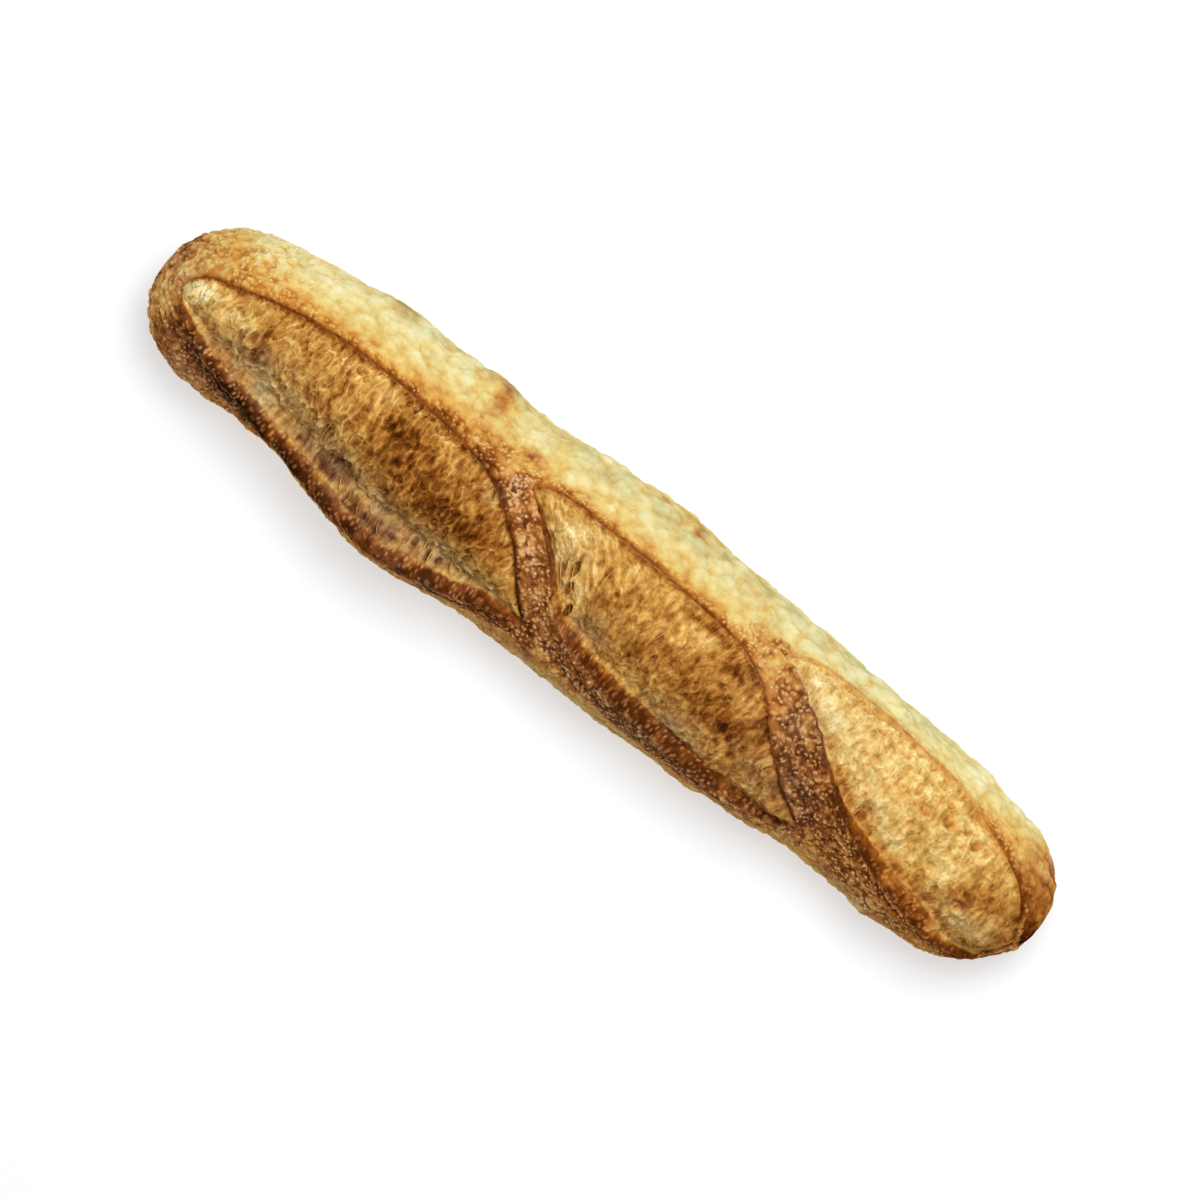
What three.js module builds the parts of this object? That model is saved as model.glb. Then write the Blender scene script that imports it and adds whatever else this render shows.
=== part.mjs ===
// A baked half baguette: one loaf with three overlapping slashes that tore open in the oven.
// Millimetres. X runs along the loaf, Y across it, and the flat base lies on Z = 0.
// The slashes wind from the far side (+Y) to the near side (-Y). Each has a far lip, a torn
// crumb that swells between its lips, a trough, and on its near side a raised flap of crust.

import * as THREE from "three";
import { ImprovedNoise } from "three/addons/math/ImprovedNoise.js";

// ---- Driving dimensions -----------------------------------------------------------------

const LENGTH = 320; // tip to tip
const END_ROUND = 26; // length over which each end closes
const WAIST = 19; // height of the widest line above the base
const BASE_SINK = 1.3; // how far the round underside would reach below the flat base
const BASE_CLOSING = 0.7; // exponent by which the underside rises at the ends, 1 as the sides close
const SIDE_SQUARENESS = 2 / 3; // exponent of the lower half's section, 1 for an ellipse

const STATIONS = 110; // sections along the loaf, tips included
const AROUND = 50; // points round each section
const WIND = 58; // degrees by which the rings turn where one slash takes over from another
const TAKEOVERS = [[-46, -8], [44, 88]]; // stretches of X in which they turn
const PROFILE_STEPS = 720; // trial points from which each section's points are chosen
const SHARP_FROM = 0.12; // share of its full depth from which a slash has sharp edges
const BASE_DENSITY = 0.4; // points of the underside for one of the same length of crown
const DENSITY_RISE = [-0.6, 0.3]; // sines of the angles between which that changes

// Plan outline and height of the crown, as [x, value] pairs joined by smooth curves.
const FAR_SIDE = [
  [-160, 22.5], [-133, 25.4], [-97, 30.1], [-49, 30], [-6, 32.4], [121, 26.7], [133, 24.2], [160, 23],
];
const NEAR_SIDE = [
  [-160, -25], [-106, -24.5], [-64, -33.3], [-26, -29], [22, -29.9], [70, -27], [90, -24.7],
  [126, -26.4], [160, -21],
];
const CROWN = [
  [-160, 38], [-125, 43.9], [-81, 46.1], [39, 46.1], [66, 45], [100, 45], [135, 41.5], [160, 36],
];

// Each slash: its far lip and the crest of its flap in plan, as [x, y] pairs from tip to tip,
// the width of the flap's inner face as [x, width] pairs, and its greatest heights and depth.
const SLASHES = [
  {
    farLip: [[-152, -2.5], [-145, 3.4], [-103, 12], [-53, 8.6], [-33, -1.2], [-17, -17.8], [-12, -20.6]],
    crest: [[-152, -2.5], [-146, -8.8], [-131, -15.8], [-108, -20.4], [-61, -29.2], [-12, -20.6]],
    flapWidth: [[-152, 0.3], [-107, 2.4], [-85, 5.4], [-55, 5.9], [-12, 0.3]],
    flapHeight: 3.4,
    trough: 5.2,
    troughAt: 0.62,
    swell: 2.2,
  },
  {
    farLip: [[-37, 12.6], [-24, 15.7], [36, 13], [53, 6.8], [68, -7.6], [86, -19.8]],
    crest: [[-37, 12.6], [-22, 1], [-4, -15], [26, -23.1], [74, -23.3], [86, -19.8]],
    flapWidth: [[-37, 0.3], [29, 5.2], [34, 3.5], [58, 2.6], [86, 0.3]],
    flapHeight: 2.6,
    trough: 2.6,
    troughAt: 0.3,
    swell: 2.4,
  },
  {
    farLip: [[50, 18.6], [67, 22.2], [115, 18.6], [136, 11.8], [147, 6], [153, -0.6], [156.5, -8]],
    crest: [
      [50, 18.6], [58, 15.4], [68, 9.2], [98, -10.4], [133, -20.8], [147, -18.8], [153, -13.6], [156.5, -8],
    ],
    flapWidth: [[50, 0.3], [95, 3.4], [124, 7.2], [144, 1.4], [156.5, 0.3]],
    flapHeight: 2.3,
    trough: 1.8,
    troughAt: 0.35,
    swell: 1.8,
  },
];
const OPENING_SHUT = 0.5; // a slash this narrow has no relief
const OPENING_FULL = 9; // and one this wide has all of it
const TROUGH_LENGTH = 0.3; // reach of a trough, as a share of its slash's length
const TROUGH_FROM = 0.45; // where it begins, as a share of the way from the far lip to the flap
const SWELL_ROUNDNESS = 0.8; // exponent of the crumb's swell, lower where it is fuller
const LIP_RISE = 0.7; // how far the far lip curls up
const LIP_REACH = 2.4; // width of that curl
const LIP_STEP = 1.0; // drop from the far lip to the crumb
const LIP_EDGE = 0.7; // width of that drop
const FLAP_FOOT = 8; // width of the flap's outer slope

// Large blisters that stand out of the crust, as [x, angle round the section, radius, rise].
const BLISTERS = [
  [-97, 14, 10, 1.6], [-61, 12, 11, 2.0], [4, 10, 15, 1.6], [12, 40, 6, 0.8],
  [-128, 52, 7, 0.7], [-30, 36, 8, 0.8], [34, 28, 7, 0.7], [82, 24, 8, 0.7],
  [116, 170, 9, 0.8], [-20, 192, 9, 0.9], [52, 196, 8, 0.8], [-132, 176, 8, 0.7],
];
const CRAG_SIZE = 9; // spacing of the crumb's lumps
const CRAG_RISE = 1.5; // and their height
const WAVE_SIZE = 19; // spacing of the crust's slow unevenness
const WAVE_RISE = 0.9; // and its height
const RELIEF_FROM = 0.45; // how open an end is where its relief is whole
const RELIEF_BASE = [-0.75, -0.25]; // sines of the angles between which the crust's relief sets in

// ---- Curves -------------------------------------------------------------------------------

const { clamp, degToRad, euclideanModulo, lerp, smoothstep } = THREE.MathUtils;
const clamp01 = (v) => clamp(v, 0, 1);
const smooth = (low, high, v) => smoothstep(v, low, high);
const bell = (v) => Math.exp(-v * v);

// A smooth curve through [x, value] pairs, flat beyond its ends.
function through(pairs) {
  const slope = pairs.map((pair, i) => {
    const [before, after] = [pairs[Math.max(0, i - 1)], pairs[Math.min(pairs.length - 1, i + 1)]];
    return (after[1] - before[1]) / (after[0] - before[0]);
  });
  return (x) => {
    if (x <= pairs[0][0]) return pairs[0][1];
    if (x >= pairs.at(-1)[0]) return pairs.at(-1)[1];
    const i = pairs.findIndex((pair) => pair[0] > x) - 1;
    const [[x0, v0], [x1, v1]] = [pairs[i], pairs[i + 1]];
    const span = x1 - x0;
    const t = (x - x0) / span;
    return v0 * (1 + 2 * t) * (1 - t) ** 2 + v1 * t * t * (3 - 2 * t)
      + span * (slope[i] * t * (1 - t) ** 2 - slope[i + 1] * t * t * (1 - t));
  };
}

const farSide = through(FAR_SIDE);
const nearSide = through(NEAR_SIDE);
const crown = through(CROWN);
const slashes = SLASHES.map((slash) => ({
  ...slash,
  start: slash.farLip[0][0],
  end: slash.farLip.at(-1)[0],
  farLipAt: through(slash.farLip),
  crestAt: through(slash.crest),
  flapWidthAt: through(slash.flapWidth),
}));

// ---- The loaf before it was slashed ------------------------------------------------------

// How far the section at x has opened from a tip: 0 at the tip, 1 past the round end.
function opened(x) {
  const fromTip = clamp01((LENGTH / 2 - Math.abs(x)) / END_ROUND);
  return Math.sqrt(1 - (1 - fromTip) ** 2);
}

function sectionAt(x) {
  const open = opened(x);
  const halfWidth = ((farSide(x) - nearSide(x)) / 2) * open;
  return {
    x,
    halfWidth,
    middle: (farSide(x) + nearSide(x)) / 2,
    above: (crown(x) - WAIST) * open,
    below: (WAIST + BASE_SINK) * open ** BASE_CLOSING,
    radius: (halfWidth + (crown(x) - WAIST) * open) / 2,
  };
}

// The point at an angle round a section: 0 is the far side, PI / 2 the crown, PI the near side.
function bodyPoint(section, angle) {
  const across = Math.cos(angle);
  const up = Math.sin(angle);
  const squared = (v) => Math.sign(v) * Math.abs(v) ** SIDE_SQUARENESS;
  const [y, z] = up >= 0
    ? [across * section.halfWidth, up * section.above]
    : [squared(across) * section.halfWidth, squared(up) * section.below];
  return new THREE.Vector3(section.x, section.middle + y, Math.max(0, WAIST + z));
}

function outward(section, angle) {
  const across = Math.cos(angle) / Math.max(section.halfWidth, 1);
  const up = Math.sin(angle) / Math.max(section.above, 1);
  return new THREE.Vector3(0, across, Math.max(up, 0)).normalize();
}

// ---- Slashes, blisters and crumb -----------------------------------------------------------

const noise = new ImprovedNoise();
const unevenness = (point, size) => noise.noise(point.x / size, point.y / size, point.z / size);
const angleOf = (section, y) => Math.acos(clamp((y - section.middle) / section.halfWidth, -1, 1));

// Where each slash that crosses a section has its far lip, the root of its flap and its crest.
function edgesAt(section) {
  return slashes.filter((slash) => section.x > slash.start && section.x < slash.end).map((slash) => {
    const lipY = slash.farLipAt(section.x);
    const crestY = slash.crestAt(section.x);
    const rootY = Math.min(crestY + slash.flapWidthAt(section.x), (crestY + lipY) / 2);
    const [lip, root, crest] = [lipY, rootY, crestY].map((y) => angleOf(section, y));
    const foot = Math.min(lip + LIP_EDGE / section.radius, (lip + crest) / 2);
    const strength = smooth(OPENING_SHUT, OPENING_FULL, (crest - lip) * section.radius);
    const along = (section.x - slash.start) / (slash.end - slash.start);
    return { slash, lip, foot, root, crest, strength, along };
  });
}

// From the far lip: its curl, the drop to the crumb, the crumb's swell and trough, and the flap.
function slashRelief(section, angle, edge, crag) {
  const { slash, strength } = edge;
  const pastLip = (angle - edge.lip) * section.radius;
  const pastCrest = (angle - edge.crest) * section.radius;
  const height = slash.flapHeight * strength * Math.sqrt(Math.sin(Math.PI * edge.along));
  if (pastLip <= 0) return strength * LIP_RISE * bell(pastLip / LIP_REACH);
  if (pastCrest >= 0) return height * (1 - clamp01(pastCrest / FLAP_FOOT)) ** 2;
  const share = clamp01((angle - edge.lip) / Math.max(edge.root - edge.lip, 1e-3));
  const reach = bell((edge.along - slash.troughAt) / TROUGH_LENGTH);
  const depth = slash.trough * reach * smooth(TROUGH_FROM, 1, share);
  const crumb = slash.swell * Math.sin(Math.PI * share) ** SWELL_ROUNDNESS - LIP_STEP - depth + crag;
  const torn = strength * lerp(LIP_RISE, crumb, smooth(edge.lip, edge.foot, angle));
  return lerp(torn, height, smooth(edge.root, edge.crest, angle));
}

function crustRelief(section, angle, wave) {
  return BLISTERS.reduce((sum, [x, degrees, radius, rise]) => {
    const around = (angle - degToRad(degrees)) * section.radius;
    return sum + rise * bell(Math.hypot(section.x - x, around) / radius);
  }, wave);
}

// The finished surface. What stands out of the plain body dies away towards the base and the tips.
function surfacePoint(section, turned, edges) {
  const angle = euclideanModulo(turned + Math.PI / 2, 2 * Math.PI) - Math.PI / 2;
  const point = bodyPoint(section, angle);
  const torn = edges.find((edge) => angle > edge.lip && angle < edge.crest);
  const crag = CRAG_RISE * unevenness(point, CRAG_SIZE);
  const slashed = (torn ? [torn] : edges)
    .reduce((sum, edge) => sum + slashRelief(section, angle, edge, crag), 0);
  const crust = torn ? 0 : crustRelief(section, angle, WAVE_RISE * unevenness(point, WAVE_SIZE));
  const aboveBase = smooth(...RELIEF_BASE, Math.sin(angle));
  const rise = (slashed + crust * aboveBase) * smooth(0, RELIEF_FROM, opened(section.x));
  point.addScaledVector(outward(section, angle), rise);
  point.z = Math.max(0, point.z);
  return point;
}

// ---- The mesh: a ring of points for each section, spaced evenly over the relief ---------------

// Sections crowd together towards the tips, as lines of latitude do on a globe.
function stationAt(i) {
  const straight = LENGTH - 2 * END_ROUND;
  const quarter = (END_ROUND * Math.PI) / 2;
  const travelled = (i / (STATIONS - 1)) * (straight + 2 * quarter);
  if (travelled < quarter) return -LENGTH / 2 + END_ROUND * (1 - Math.cos(travelled / END_ROUND));
  if (travelled > quarter + straight) {
    return LENGTH / 2 - END_ROUND * (1 - Math.cos((straight + 2 * quarter - travelled) / END_ROUND));
  }
  return -LENGTH / 2 + END_ROUND + travelled - quarter;
}

// The rings turn with the bands of crust that wind between one slash and the next.
const seamAt = (x) => degToRad(TAKEOVERS.reduce(
  (sum, [from, to]) => sum + WIND * clamp01((x - from) / (to - from)), -90,
));

// The angles of a ring's points: evenly spaced over the plain body, but sparser underneath.
function spacedAngles(section) {
  const seam = seamAt(section.x);
  const step = (2 * Math.PI) / PROFILE_STEPS;
  const angles = Array.from({ length: PROFILE_STEPS + 1 }, (_, i) => seam + step * i);
  const trial = angles.map((angle) => bodyPoint(section, angle));
  const travelled = [0];
  for (let i = 1; i <= PROFILE_STEPS; i++) {
    const density = lerp(BASE_DENSITY, 1, smooth(...DENSITY_RISE, Math.sin(angles[i])));
    travelled.push(travelled[i - 1] + trial[i].distanceTo(trial[i - 1]) * density);
  }
  let next = 0;
  return Array.from({ length: AROUND }, (_, i) => {
    const wanted = (travelled.at(-1) * i) / AROUND;
    while (travelled[next + 1] < wanted) next += 1;
    const share = (wanted - travelled[next]) / (travelled[next + 1] - travelled[next]);
    return lerp(angles[next], angles[next + 1], share);
  });
}

// Moves the nearest free points onto the top and foot of each lip, and each flap's root and crest.
function snapped(row, edges) {
  const sharp = edges.filter((edge) => edge.strength > SHARP_FROM)
    .flatMap((edge) => [edge.lip, edge.foot, edge.root, edge.crest]);
  const moved = [...row];
  let free = 0;
  for (const at of sharp.sort((a, b) => a - b)) {
    const miss = row.map((angle) => Math.abs(angle - at));
    free = Math.max(free, miss.indexOf(Math.min(...miss)));
    moved[free] = at;
    free += 1;
  }
  return moved;
}

function loafGeometry() {
  const cuts = Array.from({ length: STATIONS - 2 }, (_, i) => sectionAt(stationAt(i + 1)))
    .map((section) => ({ section, edges: edgesAt(section) }));
  const angles = cuts.map(({ section, edges }) => snapped(spacedAngles(section), edges));
  const points = cuts.flatMap(
    ({ section, edges }, i) => angles[i].map((angle) => surfacePoint(section, angle, edges)),
  );
  const [leftTip, rightTip] = [points.length, points.length + 1];
  points.push(...[-LENGTH / 2, LENGTH / 2].map((x) => new THREE.Vector3(x, sectionAt(x).middle, WAIST)));

  // Of a four-sided patch's two diagonals, the one whose middle lies nearer to the true surface.
  const middle = new THREE.Vector3();
  const miss = (from, to, truth) => middle.lerpVectors(points[from], points[to], 0.5).distanceTo(truth);
  const patch = (i, j, k) => {
    const [a, b, c, d] = [i * AROUND + j, i * AROUND + k, (i + 1) * AROUND + j, (i + 1) * AROUND + k];
    const section = sectionAt((cuts[i].section.x + cuts[i + 1].section.x) / 2);
    const turn = k === 0 ? Math.PI : 0;
    const angle = (angles[i][j] + angles[i + 1][j] + angles[i][k] + angles[i + 1][k]) / 4 + turn;
    const truth = surfacePoint(section, angle, edgesAt(section));
    return miss(a, d, truth) < miss(b, c, truth) ? [a, b, d, a, d, c] : [a, b, c, b, d, c];
  };
  const faces = [];
  for (let j = 0; j < AROUND; j++) {
    const k = (j + 1) % AROUND;
    const last = (cuts.length - 1) * AROUND;
    faces.push(leftTip, k, j, rightTip, last + j, last + k);
    for (let i = 0; i < cuts.length - 1; i++) faces.push(...patch(i, j, k));
  }
  return new THREE.BufferGeometry().setFromPoints(points).setIndex(faces);
}

// ---- The part --------------------------------------------------------------------------------

// Stands the geometry on its base with its box centred on the origin.
function stood(geometry) {
  geometry.computeBoundingBox();
  const { min, max } = geometry.boundingBox;
  return geometry.translate(-(min.x + max.x) / 2, -(min.y + max.y) / 2, -min.z);
}

const crust = new THREE.MeshStandardMaterial({ color: "#C58F4A", roughness: 0.75, metalness: 0 });
const loaf = new THREE.Mesh(stood(loafGeometry()), crust);
loaf.name = "loaf";

const baguette = new THREE.Group();
baguette.add(loaf);

export default baguette;
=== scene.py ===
"""A hearth-baked half-length baguette on a white ground, seen from straight above.

The loaf is one fine mesh that stands for the CAD solid. Its form is worked out as the solid's is:
a round body whose section follows the plan outline, and three slashes that each have a curled
far lip, a torn and swollen crumb, a trough, and a raised ear of crust. Blisters, tears, pores and
holes are then raised along the surface, and how the oven baked each point, with painted shade
added in the gas holes, is kept on the mesh for the bread's material to read. A second mesh holds
thin strands of gluten that lie over the crumb.
All shapes are worked out in millimetres.
"""

import itertools
import math
from types import SimpleNamespace

import bpy
import numpy as np
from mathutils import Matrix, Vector


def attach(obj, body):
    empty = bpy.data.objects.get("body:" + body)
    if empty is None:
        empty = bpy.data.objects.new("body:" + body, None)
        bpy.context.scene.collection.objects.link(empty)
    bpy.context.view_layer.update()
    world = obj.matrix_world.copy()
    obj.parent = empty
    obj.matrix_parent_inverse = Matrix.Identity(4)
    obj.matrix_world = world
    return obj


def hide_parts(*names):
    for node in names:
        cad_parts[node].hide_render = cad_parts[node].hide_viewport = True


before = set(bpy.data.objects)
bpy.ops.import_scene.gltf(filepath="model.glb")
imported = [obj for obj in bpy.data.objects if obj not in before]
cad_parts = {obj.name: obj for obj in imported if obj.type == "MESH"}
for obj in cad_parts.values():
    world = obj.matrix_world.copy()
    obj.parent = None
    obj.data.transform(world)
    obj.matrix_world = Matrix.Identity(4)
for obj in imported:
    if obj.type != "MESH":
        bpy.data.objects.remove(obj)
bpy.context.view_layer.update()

MM = 0.001  # metres in a millimetre

# ---- Sizes of the loaf, in millimetres ---------------------------------------------------------

LENGTH = 320
END_ROUND = 26  # length over which each end closes
WAIST = 19  # height of the widest line above the base
BASE_SINK = 1.3  # how far the round underside would reach below the flat base
BASE_CLOSING = 0.7  # exponent by which the underside rises at the ends
SIDE_SQUARENESS = 2 / 3  # exponent of the lower half's section, 1 for an ellipse

RINGS = 900  # sections along the loaf
AROUND = 430  # points round each section
BASE_DENSITY = 0.6  # points of the underside for one of the same length of crown

FAR_SIDE = [
    (-160, 22.5), (-133, 25.4), (-97, 30.1), (-49, 30), (-6, 32.4), (121, 26.7), (133, 24.2), (160, 23),
]
NEAR_SIDE = [
    (-160, -25), (-106, -24.5), (-64, -33.3), (-26, -29), (22, -29.9), (70, -27), (90, -24.7),
    (126, -26.4), (160, -21),
]
CROWN = [(-160, 38), (-125, 43.9), (-81, 46.1), (39, 46.1), (66, 45), (100, 45), (135, 41.5), (160, 36)]

# Each slash from tip to tip. Where values come in pairs, the first of each is a place along X.
# Form: far_lip and crest are its edges in plan, ear_width is the width of the ear's inner face, and
# rim is how far in from the crest crust covers that face. The ear rises by ear_height and the
# crumb swells by swell. The trough beside the ear is as deep as trough says, and deepest at
# trough_at, a share of the way along.
# Crumb: lean is how far its torn fibres slant, and webbed how clearly its cell walls stand out.
# Baking, from 0 to 1: halo is what the crust beyond the far lip has more, lip_line is the lip's
# own, band that of the crust outside the crest, and crumb that of the torn crumb, with face_toast
# more up the ear and fringe less where it meets the rim. halo_width, band_width and fringe_width
# are how wide those are, and band_flour is the flour the band kept.
# browned has a row for each place along X: the baking in percent at the distances BESIDE_CREST from
# a line that lies shift inside the crest.
BESIDE_CREST = (-8, -4, -2.5, -1.2, -0.4, 0.4, 1.2, 2.4, 4, 6)  # from outside to inside
SLASHES = [
    SimpleNamespace(
        far_lip=[(-152, -2.5), (-145, 3.4), (-103, 12), (-53, 8.6), (-33, -1.2), (-17, -17.8), (-12, -20.6)],
        crest=[(-152, -2.5), (-146, -8.8), (-131, -15.8), (-108, -20.4), (-61, -29.2), (-12, -20.6)],
        ear_width=[(-152, 0.3), (-132, 4.4), (-107, 5), (-85, 5.4), (-55, 5.9), (-12, 0.3)],
        ear_height=3.4, trough=5.2, trough_at=0.62, swell=2.2,
        lean=[(-152, 0.08), (-12, 0.08)], webbed=1.0,
        halo=[(-150, 0.10), (-120, 0.12), (-90, 0.16), (-60, 0.22), (-20, 0.25)],
        halo_width=[(-150, 3.2), (-100, 2.8), (-60, 3.8), (-20, 2)], lip_line=0.68,
        rim=[
            (-150, 0.6), (-132, 3.4), (-108, 5), (-92, 5.4), (-60, 5), (-40, 5.4), (-20, 3.4), (-12, 0.6),
        ],
        browned={
            -150: (74, 74, 74, 72, 66, 56, 46, 40, 36, 34),
            -130: (76, 84, 92, 98, 100, 98, 95, 82, 56, 36),
            -104: (80, 90, 96, 100, 100, 98, 96, 86, 68, 44),
            -88: (86, 95, 96, 95, 93, 93, 92, 88, 74, 50),
            -60: (84, 90, 90, 88, 86, 86, 86, 82, 72, 54),
            -36: (80, 86, 87, 90, 92, 93, 92, 88, 82, 68),
            -12: (74, 76, 76, 76, 74, 70, 62, 50, 40, 34),
        },
        band=[(-150, 0.72), (-120, 0.80), (-90, 0.80), (-30, 0.70)], band_width=7, band_flour=0.3,
        crumb=0.53, fringe=0.12, fringe_width=0.8, shift=0, face_toast=0,
    ),
    SimpleNamespace(
        far_lip=[(-37, 12.6), (-24, 15.7), (36, 13), (53, 6.8), (68, -7.6), (86, -19.8)],
        crest=[(-37, 12.6), (-22, 1), (-4, -15), (26, -23.1), (74, -23.3), (86, -19.8)],
        ear_width=[(-37, 0.3), (29, 5.2), (34, 3.5), (58, 2.6), (86, 0.3)],
        ear_height=2.6, trough=2.6, trough_at=0.3, swell=2.4,
        lean=[(-37, -0.6), (-8, -0.45), (24, 0.15), (86, 0.15)], webbed=0.55,
        halo=[(-35, 0.14), (60, 0.14)], halo_width=[(-35, 2.4), (20, 2.4), (55, 3.6)], lip_line=0.62,
        rim=[
            (-37, 0.3), (-26, 2.4), (-8, 3.4), (3, 4.8), (12, 6), (27, 6.6), (38, 6.6), (52, 6.4),
            (72, 4.4), (86, 0.6),
        ],
        browned={
            -36: (60, 60, 60, 62, 64, 60, 52, 44, 40, 34),
            -8: (66, 66, 68, 70, 70, 68, 64, 56, 48, 40),
            8: (70, 72, 74, 80, 86, 88, 86, 80, 70, 56),
            27: (76, 80, 84, 90, 92, 92, 86, 80, 70, 56),
            40: (80, 82, 84, 88, 90, 90, 88, 82, 72, 60),
            70: (74, 74, 76, 80, 84, 83, 79, 70, 58, 46),
            86: (72, 72, 72, 72, 70, 62, 50, 42, 40, 40),
        },
        band=[(-40, 0.62), (-25, 0.62), (-14, 0.68), (5, 0.74), (35, 0.82), (80, 0.68)],
        band_width=9, band_flour=1.0, crumb=0.50, fringe=0.04, fringe_width=0.6, shift=1.8, face_toast=0.06,
    ),
    SimpleNamespace(
        far_lip=[(50, 18.6), (67, 22.2), (115, 18.6), (136, 11.8), (147, 6), (153, -0.6), (156.5, -8)],
        crest=[
            (50, 18.6), (58, 15.4), (68, 9.2), (98, -10.4), (133, -20.8), (147, -18.8), (153, -13.6),
            (156.5, -8),
        ],
        ear_width=[(50, 0.3), (95, 3.4), (124, 7.2), (144, 1.4), (156.5, 0.3)],
        ear_height=2.3, trough=1.8, trough_at=0.35, swell=1.8,
        lean=[(50, 0.1), (156, 0.1)], webbed=0.4,
        halo=[(50, 0.02), (110, 0.04), (140, 0.16), (156, 0.16)],
        halo_width=[(50, 1.8), (156, 3)], lip_line=0.42,
        rim=[(50, 0.3), (60, 0.9), (86, 2.0), (100, 4.2), (112, 5.6), (130, 6.6), (141, 3.0), (156, 0.8)],
        browned={
            52: (60, 60, 60, 62, 62, 54, 44, 36, 34, 34),
            80: (70, 70, 72, 76, 78, 72, 60, 46, 38, 34),
            90: (72, 76, 80, 86, 90, 87, 78, 64, 52, 42),
            102: (66, 68, 70, 78, 83, 81, 75, 69, 62, 52),
            128: (66, 68, 70, 76, 82, 82, 78, 73, 69, 62),
            140: (68, 70, 72, 76, 78, 74, 64, 50, 42, 40),
            156: (70, 70, 72, 74, 74, 68, 58, 48, 42, 42),
        },
        band=[(50, 0.45), (57, 0.52), (65, 0.70), (75, 0.79), (90, 0.80), (110, 0.67), (150, 0.54)],
        band_width=14, band_flour=0.32, crumb=0.30, fringe=-0.24, fringe_width=1.8, shift=1.0, face_toast=0,
    ),
]
TIP_SHARPNESS = 2.2  # how quickly browning fades beyond a slash's tips
OPENING_SHUT = 0.5  # a slash this narrow has no relief
OPENING_FULL = 9  # and one this wide has all of it
TROUGH_LENGTH = 0.3  # reach of a trough, as a share of its slash's length
TROUGH_FROM = 0.45  # where it begins, as a share of the way from the far lip to the ear
LIP_WAVER = 0.3  # how far the far lip strays from its line
CREST_WAVER = 0.7  # and the ear's crest from its own
EAR_WAVER = 0.35  # how much the ear's width varies along it, as a share
EAR_NOTCHES = 0.25  # and its height
LIP_RISE = 0.7  # how far the far lip curls up
LIP_REACH = 2.4  # width of that curl
LIP_STEP = 0.7  # drop from the far lip to the crumb
LIP_EDGE = 0.6  # width of that drop
EAR_FOOT = 8  # width of the ear's outer slope
TIP_FADE = 14  # length over which the relief of a slash fades towards a tip of the loaf

# Large blisters of the crust: place along X, angle round the section, radius and rise.
BLISTERS = [
    (-97, 14, 10, 1.6), (-61, 12, 11, 2.0), (4, 10, 15, 1.6), (12, 40, 6, 0.8),
    (-128, 52, 7, 0.7), (-30, 36, 8, 0.8), (34, 28, 7, 0.7), (82, 24, 8, 0.7),
    (116, 170, 9, 0.8), (-20, 192, 9, 0.9), (52, 196, 8, 0.8), (-132, 176, 8, 0.7),
]

# Gas holes torn open in the crumb: place in plan, radius along and across, depth.
HOLES = [
    (-84, -18.5, 8.5, 4.2, 2.0), (-75, -22.4, 4.2, 1.5, 1.2), (-68.6, -24.4, 2.2, 1.0, 1.1),
    (-64, -22.8, 1.4, 1.0, 0.9), (-58.6, -24.0, 2.4, 1.0, 1.0), (-52.6, -21.2, 1.2, 1.6, 0.9),
    (-47.4, -22.4, 1.2, 2.2, 1.5), (-43.6, -21.6, 0.9, 1.4, 1.1), (-38, -20.4, 1.5, 0.7, 0.9),
    (-92, -11, 3.4, 4.4, 1.2), (-10.8, 0.6, 1.3, 3.4, 2.6), (-9.0, -5.2, 1.1, 3.0, 2.6),
    (-5.2, -10, 1.1, 2.0, 2.0), (119.5, 9, 3.2, 2.4, 1.8), (111.5, 7.4, 2.2, 2.8, 1.3),
    (130, 8, 2.2, 2.0, 1.5), (88, 17.8, 2.6, 1.0, 1.6), (98, 16.6, 2.2, 0.8, 1.0),
    (106, 18, 1.3, 0.7, 1.0), (112, 17.4, 1.1, 0.7, 0.9), (98, -4, 2.6, 3.2, 0.8),
    (122, -9, 1.6, 2.6, 0.9), (128, -10, 1.2, 2.2, 0.8), (136, -9, 2.2, 2.0, 0.7),
]

# How the oven browned the crust, from 0 for cream to 1 for near black, before halos and bands.
FAR_BAKE = 0.21
NEAR_BAKE = (0.60, 0.50)  # on the near side towards the crown, and down at its widest line
RIGHT_END_BAKE = 0.27  # what the right end has more
BASE_BAKE = 0.5

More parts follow.
